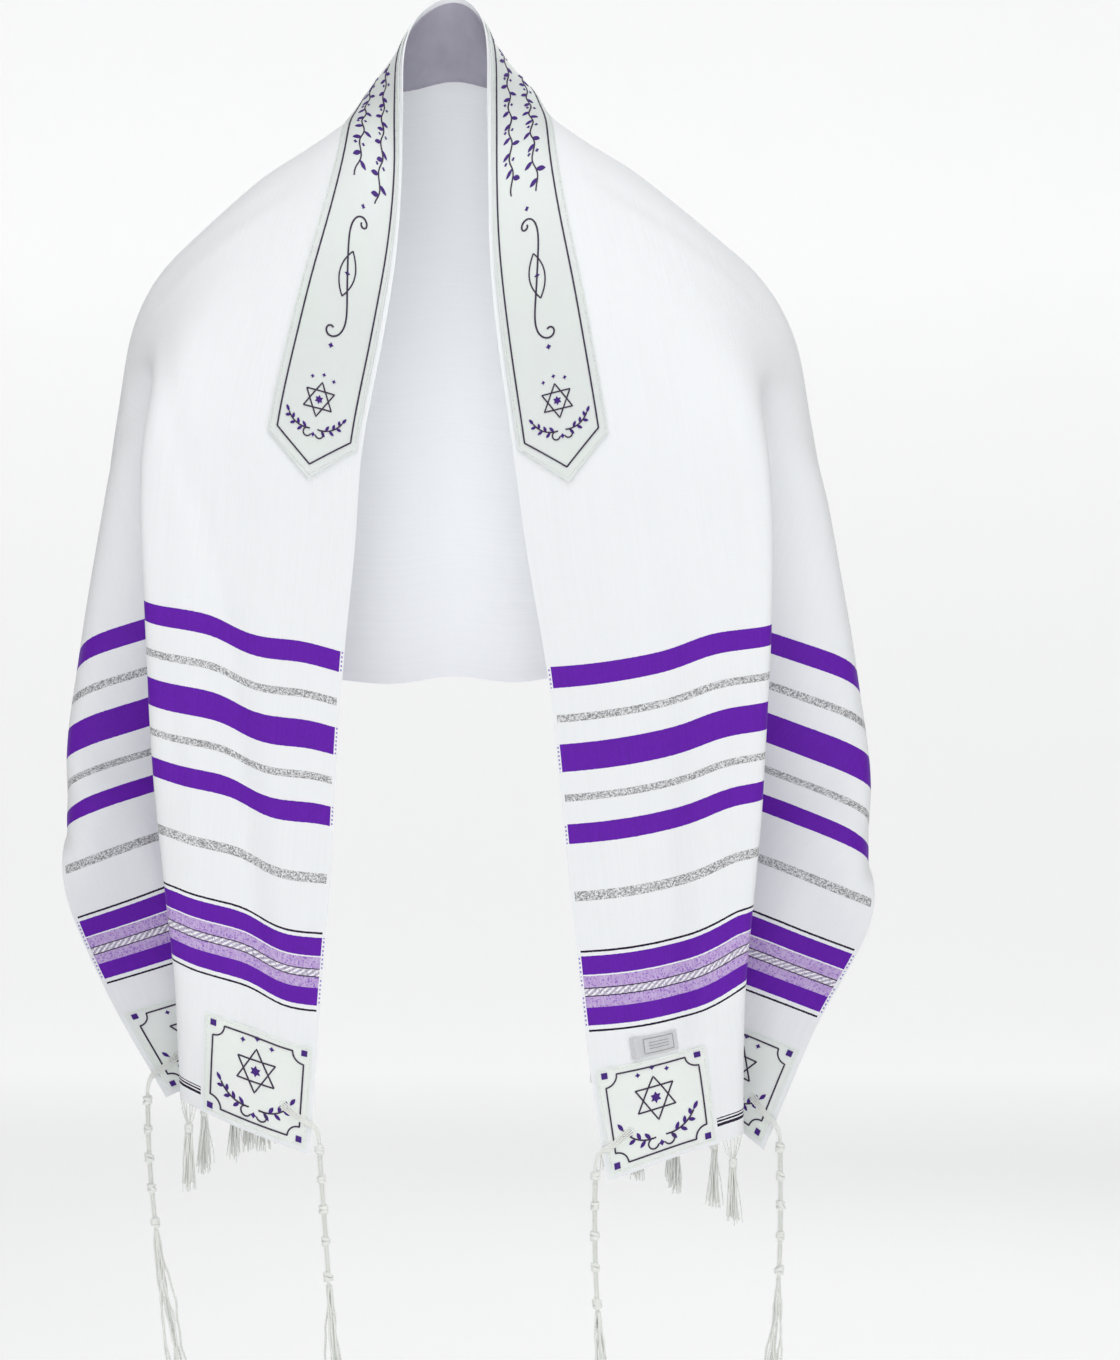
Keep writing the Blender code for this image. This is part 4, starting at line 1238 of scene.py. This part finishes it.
def make_patches(sizes, colours):
    drape = shawl_drape(sizes)
    low, high = trim_lift(sizes)
    finish = satin("patch_satin_finish", colours.satin)
    line_finish = bpy.data.materials["line_yarn"]
    accent_finish = bpy.data.materials["accent_yarn"]
    thread_finish = bpy.data.materials["stitch_thread"]
    wide, tall = PATCH_WIDE - COLLAR_INNER, PATCH_TALL - PATCH_MARGIN
    for edge in ("front", "back"):
        start = COLLAR_INNER if edge == "front" else WIDTH - PATCH_WIDE
        for side in ("left", "right"):
            sign = -1 if side == "left" else 1
            name = f"{edge}_{side}"
            across = start + np.linspace(0, wide, 31)[None, :]
            hem = np.linspace(PATCH_MARGIN, PATCH_TALL, 29)[:, None]
            along = sign * (HALF_LENGTH - hem)
            rim = np.minimum(np.minimum(across - start, start + wide - across),
                             np.minimum(hem - PATCH_MARGIN, PATCH_TALL - hem))
            lift = (low + high) / 2 + 0.0005 * (1 - np.exp(-rim / 0.005))
            lift = lift + puckers(along + 0.7 * across, rim, 0.00014)
            piece = cut_from(drape, f"corner_patch_{name}", along, across, lift,
                             sizes.satin_thickness, finish)
            settle(piece, "satin", f"patch_{name}")
            ground = Ground(side, HALF_LENGTH - (PATCH_MARGIN + PATCH_TALL) / 2, start + wide / 2)
            lines = LineWork(drape, high + LINE_LOW, high + LINE_HIGH)
            shapes = LineWork(drape, high + LINE_LOW, high + LINE_HIGH)
            patch_drawing(lines, shapes, ground, wide / MM, tall / MM, sizes.line_width)
            made = [lines.finish(f"patch_lines_{name}", line_finish),
                    shapes.finish(f"patch_shapes_{name}", accent_finish)]
            stitches = Yarns()
            inset = 1.5
            corner = [(sx * (wide / MM / 2 - inset), sy * (tall / MM / 2 - inset))
                      for sx, sy in ((-1, -1), (1, -1), (1, 1), (-1, 1), (-1, -1))]
            add_stitches(stitches, drape, ground(corner), high + 0.0001)
            made.append(stitches.finish(f"patch_stitches_{name}", thread_finish, slot="satin"))


def patch_drawing(lines, shapes, ground, wide, tall, width):
    """A frame with scooped corners round a square in each corner, and the star motif."""
    half_x, half_y, scoop = wide / 2 - 6.0, tall / 2 - 5.5, 9.0
    outline = []
    for sx, sy, turn in ((1, 1, 270), (-1, 1, 0), (-1, -1, 90), (1, -1, 180)):
        centre = (sx * half_x, sy * half_y)
        outline.append(arc(centre, scoop, turn, turn - 90))
        square = [(centre[0] + dx * 2.3, centre[1] + dy * 2.3)
                  for dx, dy in ((-1, -1), (1, -1), (1, 1), (-1, 1))]
        shapes.shape(ground(square))
    lines.line(ground(np.vstack(outline)), width, closed=True)
    star_motif(lines, shapes, ground, PATCH_STAR, width)


def make_label(sizes, colours):
    drape = shawl_drape(sizes)
    low, high = trim_lift(sizes)
    start, end = LABEL_ACROSS
    across = np.linspace(start, end, 25)[None, :]
    hem = np.linspace(*LABEL_FROM_HEM, 15)[:, None]
    along = HALF_LENGTH - hem
    turned = np.clip((start + 0.0085 - across) / 0.0085, 0, 1)
    lift = (low + high) / 2 + 0.0015 * np.sin(math.pi * turned) + 0.0002 * np.sin(across * 900)
    piece = cut_from(drape, "side_ribbon", along, across, lift, sizes.satin_thickness * 0.8,
                     ribbon_grey(colours))
    settle(piece, "label", "label")
    middle = (LABEL_FROM_HEM[0] + LABEL_FROM_HEM[1]) / 2
    ground = Ground("right", HALF_LENGTH - middle, (start + end) / 2 + 0.0035)
    lines = LineWork(drape, high + 0.0001, high + 0.00022)
    corners = [(sx * 11.4, sy * 6.0) for sx, sy in ((-1, -1), (1, -1), (1, 1), (-1, 1))]
    lines.line(ground(corners), 0.0005, closed=True)
    for y in (-2.4, 0.0, 2.4):
        lines.line(ground([(-7.6, y), (7.6, y)]), 0.0004)
    drawn = lines.finish("ribbon_lines", line_yarn("ribbon_yarn", scaled(colours.label, 0.35)))


def make_corner_fringes(sizes, colours):
    """Yarn doubled through each corner's eyelet, wound and knotted, then hanging in eight ends."""
    drape = shawl_drape(sizes)
    finish = wool("fringe_wool", colours.cord)
    for order, (name, side, edge, sway, length) in enumerate(CORNER_FRINGES):
        route = FRINGE_ROUTE
        if edge == "outer":
            route = tuple((WIDTH - across, from_hem) for across, from_hem in route)
        eyelet, eyelet_out = on_cloth(drape, side, *route[0], FRINGE_LIFT)
        inside, _ = on_cloth(drape, side, *route[1], FRINGE_LIFT)
        rim, out = on_cloth(drape, side, *route[2])
        inward, _ = on_cloth(drape, side, *route[3])
        away = unit(rim - inward)
        over = rim + out * FRINGE_LIFT * 0.8 + away * 0.002
        past = rim + away * 0.0052 + (0, 0, -0.008)
        drift = np.array((sway[0], sway[1], 0.0)) * MM
        hang = [past + drift * u**1.5 + away * 0.002 * math.sin(5 * u) * (1, 1, 0)
                + (0, 0, -length * u) for u in np.linspace(0.04, 1, 8)]
        path = curve_through([eyelet, inside, over, past] + hang, FRINGE_POINTS)
        yarns = Yarns()
        lead_end = int(FRINGE_POINTS * FRINGE_LEAD)
        stem_end = int(FRINGE_POINTS * (FRINGE_LEAD + STEM_SHARE))
        lead = path[:lead_end + 2]
        sideways = unit(np.cross(unit(path[lead_end] - path[0]), eyelet_out))
        for k in (-1.5, -0.5, 0.5, 1.5):
            close = np.linspace(1.0, 0.35, len(lead))[:, None]
            yarns.tube(resample(lead + sideways * k * sizes.yarn_radius * 1.5 * close, 0.0009)[0],
                       sizes.yarn_radius * 0.8, 8, pitch=0.0045, phase=k)
        turn = np.linspace(0, 2 * math.pi, 21)
        flat = unit(np.cross(eyelet_out, sideways))
        ring = (np.cos(turn)[:, None] * sideways + np.sin(turn)[:, None] * flat) * EYELET_RADIUS
        yarns.tube(eyelet - eyelet_out * 0.0006 + ring, EYELET_WIRE, 6)
        stem = path[lead_end:stem_end]
        yarns.tube(resample(stem, 0.0012)[0], STEM_CORE, 8)
        last = 0
        for k, share in enumerate(KNOT_PLACES):
            at = int(share * (len(stem) - 2))
            if at - last > 4:
                yarns.coil(stem[last:at + 1], COIL_RADIUS + 0.0001 * (k % 2), COIL_YARN,
                           COIL_PITCH + 0.0001 * k, phase=order + k)
            yarns.knot(stem[at], stem[at + 1] - stem[at], KNOT_SIZE - 0.0003 * (k % 2), order + k)
            last = at + 1
        free = path[stem_end - 4:]
        ahead = unit(free[-1] - free[0])
        across = unit(np.cross(ahead, (0, 1, 0)))
        third = np.cross(ahead, across)
        u = np.linspace(0, 1, len(free))
        for k in range(FRINGE_ENDS):
            angle = 2 * math.pi * (k + 0.5 * (k > 3)) / FRINGE_ENDS + order
            spread = 0.0016 + 0.0034 * np.minimum(u / 0.35, 1.0)
            group = (0.0030 if k % 2 else -0.0030) * np.minimum(u / 0.5, 1.0)
            wave = 0.0011 * np.sin(u * (9 + k) + k * 1.9) * np.minimum(u / 0.2, 1.0)
            wave += 0.0004 * np.sin(u * (31 + 2 * k) + k)
            offset = (across * ((spread * math.cos(angle) * 0.7 + group + wave))[:, None]
                      + third * ((spread * math.sin(angle) * 0.8 + 0.7 * wave))[:, None])
            count = int(len(free) * (1 - 0.028 * ((k * 3 + order) % 5)))
            strand, _ = resample((free + offset)[:count], 0.0008)
            radii = np.full(len(strand), sizes.yarn_radius)
            radii[-4:] *= (0.95, 0.8, 0.6, 0.35)
            yarns.tube(strand, radii, 8, pitch=0.0052, phase=k * 1.3)
        yarns.finish(f"corner_fringe_{name}", finish, f"tzitzit_{name}")


def make_hem_tassels(sizes, colours):
    """Yarns gathered from the hem into a knot, with a loose brush of ends below it."""
    drape = shawl_drape(sizes)
    finish = wool("tassel_wool", scaled(colours.cord, 0.96))
    draw = np.random.default_rng(11)
    drop = np.array((0.0, 0.0, -1.0))
    for side in ("left", "right"):
        for order, across in enumerate(TASSEL_ACROSS):
            hem, out = on_cloth(drape, side, across, 0.0)
            above, _ = on_cloth(drape, side, across, 0.006)
            beside, _ = on_cloth(drape, side, across + 0.006, 0.0)
            down, along_hem = unit(hem - above), unit(beside - hem)
            knot = hem + down * 0.5 * TASSEL_DROP + drop * 0.5 * TASSEL_DROP
            yarns = Yarns()
            for k in TASSEL_ROOTS:
                foot = hem + along_hem * k * TASSEL_SPREAD - down * 0.0008
                bow = (foot + knot) / 2 + along_hem * k * 0.0012 + out * 0.0006 * math.sin(9 * k)
                yarns.tube(resample(curve_through([foot, bow, knot], 12), 0.0009)[0], 0.00062, 6,
                           pitch=0.004, phase=k * 3)
            yarns.tube(knot - drop * np.linspace(0.0036, -0.0042, 7)[:, None], TASSEL_KNOT, 10)
            yarns.knot(knot, drop, 0.0034, order)
            for k in range(sizes.brush_yarns):
                angle = k * GOLDEN_TURN
                far = math.sqrt((k + 0.5) / sizes.brush_yarns)
                spread = np.array((math.cos(angle), math.sin(angle) * 0.75, 0.0)) * far
                length = TASSEL_BRUSH * (1 - 0.22 * draw.random()) + 0.004
                u = np.linspace(0, 1, 12)[:, None]
                sway = np.array((draw.normal(0, 0.0009), draw.normal(0, 0.0009), 0.0))
                ends = (knot + drop * (0.002 + length * u) + spread * (0.0016 + 0.0042 * u**0.8)
                        + sway * np.sin(3.0 * u + k))
                yarns.tube(ends, np.linspace(0.00062, 0.0004, 12), 5)
            yarns.finish(f"hem_tassel_{side}_wool_{order + 1}", finish,
                         f"hem_tassel_{side}_{order + 1}")


def add_light(name, place, size, power, target=(0.0, 0.0, -0.42)):
    deselect()
    bpy.ops.object.light_add(type="AREA", location=place)
    lamp = bpy.context.object
    lamp.name = name
    lamp.data.shape = "RECTANGLE"
    lamp.data.size, lamp.data.size_y = size
    lamp.data.energy = power
    ahead = [t - p for t, p in zip(target, place)]
    lamp.rotation_mode = "QUATERNION"
    lamp.rotation_quaternion = Vector(ahead).to_track_quat("-Z", "Y")


def make_stage(colours):
    """A pale sweep of paper, soft lights and the camera at the photograph's angle."""
    deselect()
    floor = CAD_BOX[0][2] - PAPER_DROP
    bpy.ops.mesh.primitive_plane_add(size=PAPER_SIDE, location=(0, -PAPER_AHEAD, floor))
    paper = bpy.context.object
    paper.name = "paper_sweep"
    bpy.ops.object.transform_apply(location=True, rotation=True, scale=True)
    for vertex in paper.data.vertices:
        vertex.select = False
    for polygon in paper.data.polygons:
        polygon.select = False
    back = max(v.co.y for v in paper.data.vertices)
    for line in paper.data.edges:
        line.select = all(paper.data.vertices[i].co.y > back - 0.01 for i in line.vertices)
    bpy.ops.object.mode_set(mode="EDIT")
    bpy.ops.mesh.select_mode(type="EDGE")
    bpy.ops.mesh.extrude_region_move(TRANSFORM_OT_translate={"value": (0, 0, PAPER_RISE)})
    bpy.ops.object.mode_set(mode="OBJECT")
    soft = paper.modifiers.new("sweep", "BEVEL")
    soft.width = PAPER_BEND
    soft.segments = 24
    soft.limit_method = "ANGLE"
    only(paper)
    bpy.ops.object.modifier_apply(modifier=soft.name)
    paper.data.shade_smooth()
    paper.data.materials.append(room_finish(colours))

    world = bpy.context.scene.world or bpy.data.worlds.new("studio_air")
    bpy.context.scene.world = world
    world.use_nodes = True
    air = world.node_tree.nodes["Background"]
    air.inputs[0].default_value = AIR_COLOUR
    air.inputs[1].default_value = AIR_LIGHT
    for name, place, size, power in LIGHTS:
        add_light(name, place, size, power)
    add_light(*INSIDE_LIGHT, target=INSIDE_TARGET)

    bpy.ops.object.camera_add(location=(0.0, VIEW_PLANE - VIEW_DISTANCE, VIEW_HEIGHT),
                              rotation=(math.radians(90), 0, 0))
    camera = bpy.context.object
    camera.name = "photo_camera"
    camera.data.sensor_fit = "AUTO"
    camera.data.sensor_width = SENSOR
    camera.data.lens = SENSOR * VIEW_DISTANCE / FRAME_TALL
    camera.data.shift_x = FRAME_SHIFT
    camera.data.clip_start, camera.data.clip_end = 0.05, 50.0
    bpy.context.scene.camera = camera
    bpy.context.scene.view_settings.view_transform = "Standard"


class SHAWL_OT_cloth(bpy.types.Operator):
    """Make the draped woven cloth"""
    bl_idname = "shawl.cloth"
    bl_label = "Woven cloth"
    bl_options = {"REGISTER", "UNDO"}

    def execute(self, context):
        make_cloth(context.scene.shawl_sizes, context.scene.shawl_colours)
        return {"FINISHED"}


class SHAWL_OT_neck_band(bpy.types.Operator):
    """Make the satin neck band with its line work"""
    bl_idname = "shawl.neck_band"
    bl_label = "Neck band"
    bl_options = {"REGISTER", "UNDO"}

    def execute(self, context):
        make_neck_band(context.scene.shawl_sizes, context.scene.shawl_colours)
        return {"FINISHED"}


class SHAWL_OT_facing(bpy.types.Operator):
    """Make the facing inside the back of the neck"""
    bl_idname = "shawl.facing"
    bl_label = "Neck facing"
    bl_options = {"REGISTER", "UNDO"}

    def execute(self, context):
        make_facing(context.scene.shawl_sizes, context.scene.shawl_colours)
        return {"FINISHED"}


class SHAWL_OT_patches(bpy.types.Operator):
    """Make the four satin corner patches"""
    bl_idname = "shawl.patches"
    bl_label = "Corner patches"
    bl_options = {"REGISTER", "UNDO"}

    def execute(self, context):
        make_patches(context.scene.shawl_sizes, context.scene.shawl_colours)
        return {"FINISHED"}


class SHAWL_OT_label(bpy.types.Operator):
    """Make the small plain ribbon by the right patch"""
    bl_idname = "shawl.label"
    bl_label = "Ribbon"
    bl_options = {"REGISTER", "UNDO"}

    def execute(self, context):
        make_label(context.scene.shawl_sizes, context.scene.shawl_colours)
        return {"FINISHED"}


class SHAWL_OT_corner_fringes(bpy.types.Operator):
    """Make the four knotted fringes"""
    bl_idname = "shawl.corner_fringes"
    bl_label = "Corner fringes"
    bl_options = {"REGISTER", "UNDO"}

    def execute(self, context):
        make_corner_fringes(context.scene.shawl_sizes, context.scene.shawl_colours)
        return {"FINISHED"}


class SHAWL_OT_hem_tassels(bpy.types.Operator):
    """Make the tied tassels of both hems"""
    bl_idname = "shawl.hem_tassels"
    bl_label = "Hem tassels"
    bl_options = {"REGISTER", "UNDO"}

    def execute(self, context):
        make_hem_tassels(context.scene.shawl_sizes, context.scene.shawl_colours)
        return {"FINISHED"}


class SHAWL_OT_stage(bpy.types.Operator):
    """Make the paper sweep, lights and camera"""
    bl_idname = "shawl.stage"
    bl_label = "Studio"
    bl_options = {"REGISTER", "UNDO"}

    def execute(self, context):
        make_stage(context.scene.shawl_colours)
        return {"FINISHED"}


OPERATORS = (SHAWL_OT_cloth, SHAWL_OT_neck_band, SHAWL_OT_facing,
             SHAWL_OT_patches, SHAWL_OT_label, SHAWL_OT_corner_fringes,
             SHAWL_OT_hem_tassels, SHAWL_OT_stage)


class SHAWL_PT_panel(bpy.types.Panel):
    """Sizes, colours and the operators in order."""
    bl_label = "Prayer shawl"
    bl_idname = "SHAWL_PT_panel"
    bl_space_type = "VIEW_3D"
    bl_region_type = "UI"
    bl_category = "Shawl"

    def draw(self, context):
        for group in (context.scene.shawl_sizes, context.scene.shawl_colours):
            for name in group.__annotations__:
                self.layout.prop(group, name)
        for made in OPERATORS:
            self.layout.operator(made.bl_idname)


CLASSES = (ShawlSizes, ShawlColours) + OPERATORS + (SHAWL_PT_panel,)


def register():
    for item in CLASSES:
        bpy.utils.register_class(item)
    bpy.types.Scene.shawl_sizes = bpy.props.PointerProperty(type=ShawlSizes)
    bpy.types.Scene.shawl_colours = bpy.props.PointerProperty(type=ShawlColours)


def unregister():
    del bpy.types.Scene.shawl_colours
    del bpy.types.Scene.shawl_sizes
    for item in reversed(CLASSES):
        bpy.utils.unregister_class(item)


def main():
    register()
    for item in OPERATORS:
        name = item.bl_idname.split(".")[1]
        if getattr(bpy.ops.shawl, name)() != {"FINISHED"}:
            raise RuntimeError(f"the {item.bl_label} operator did not finish")
    bpy.context.view_layer.update()


if __name__ == "__main__":
    main()
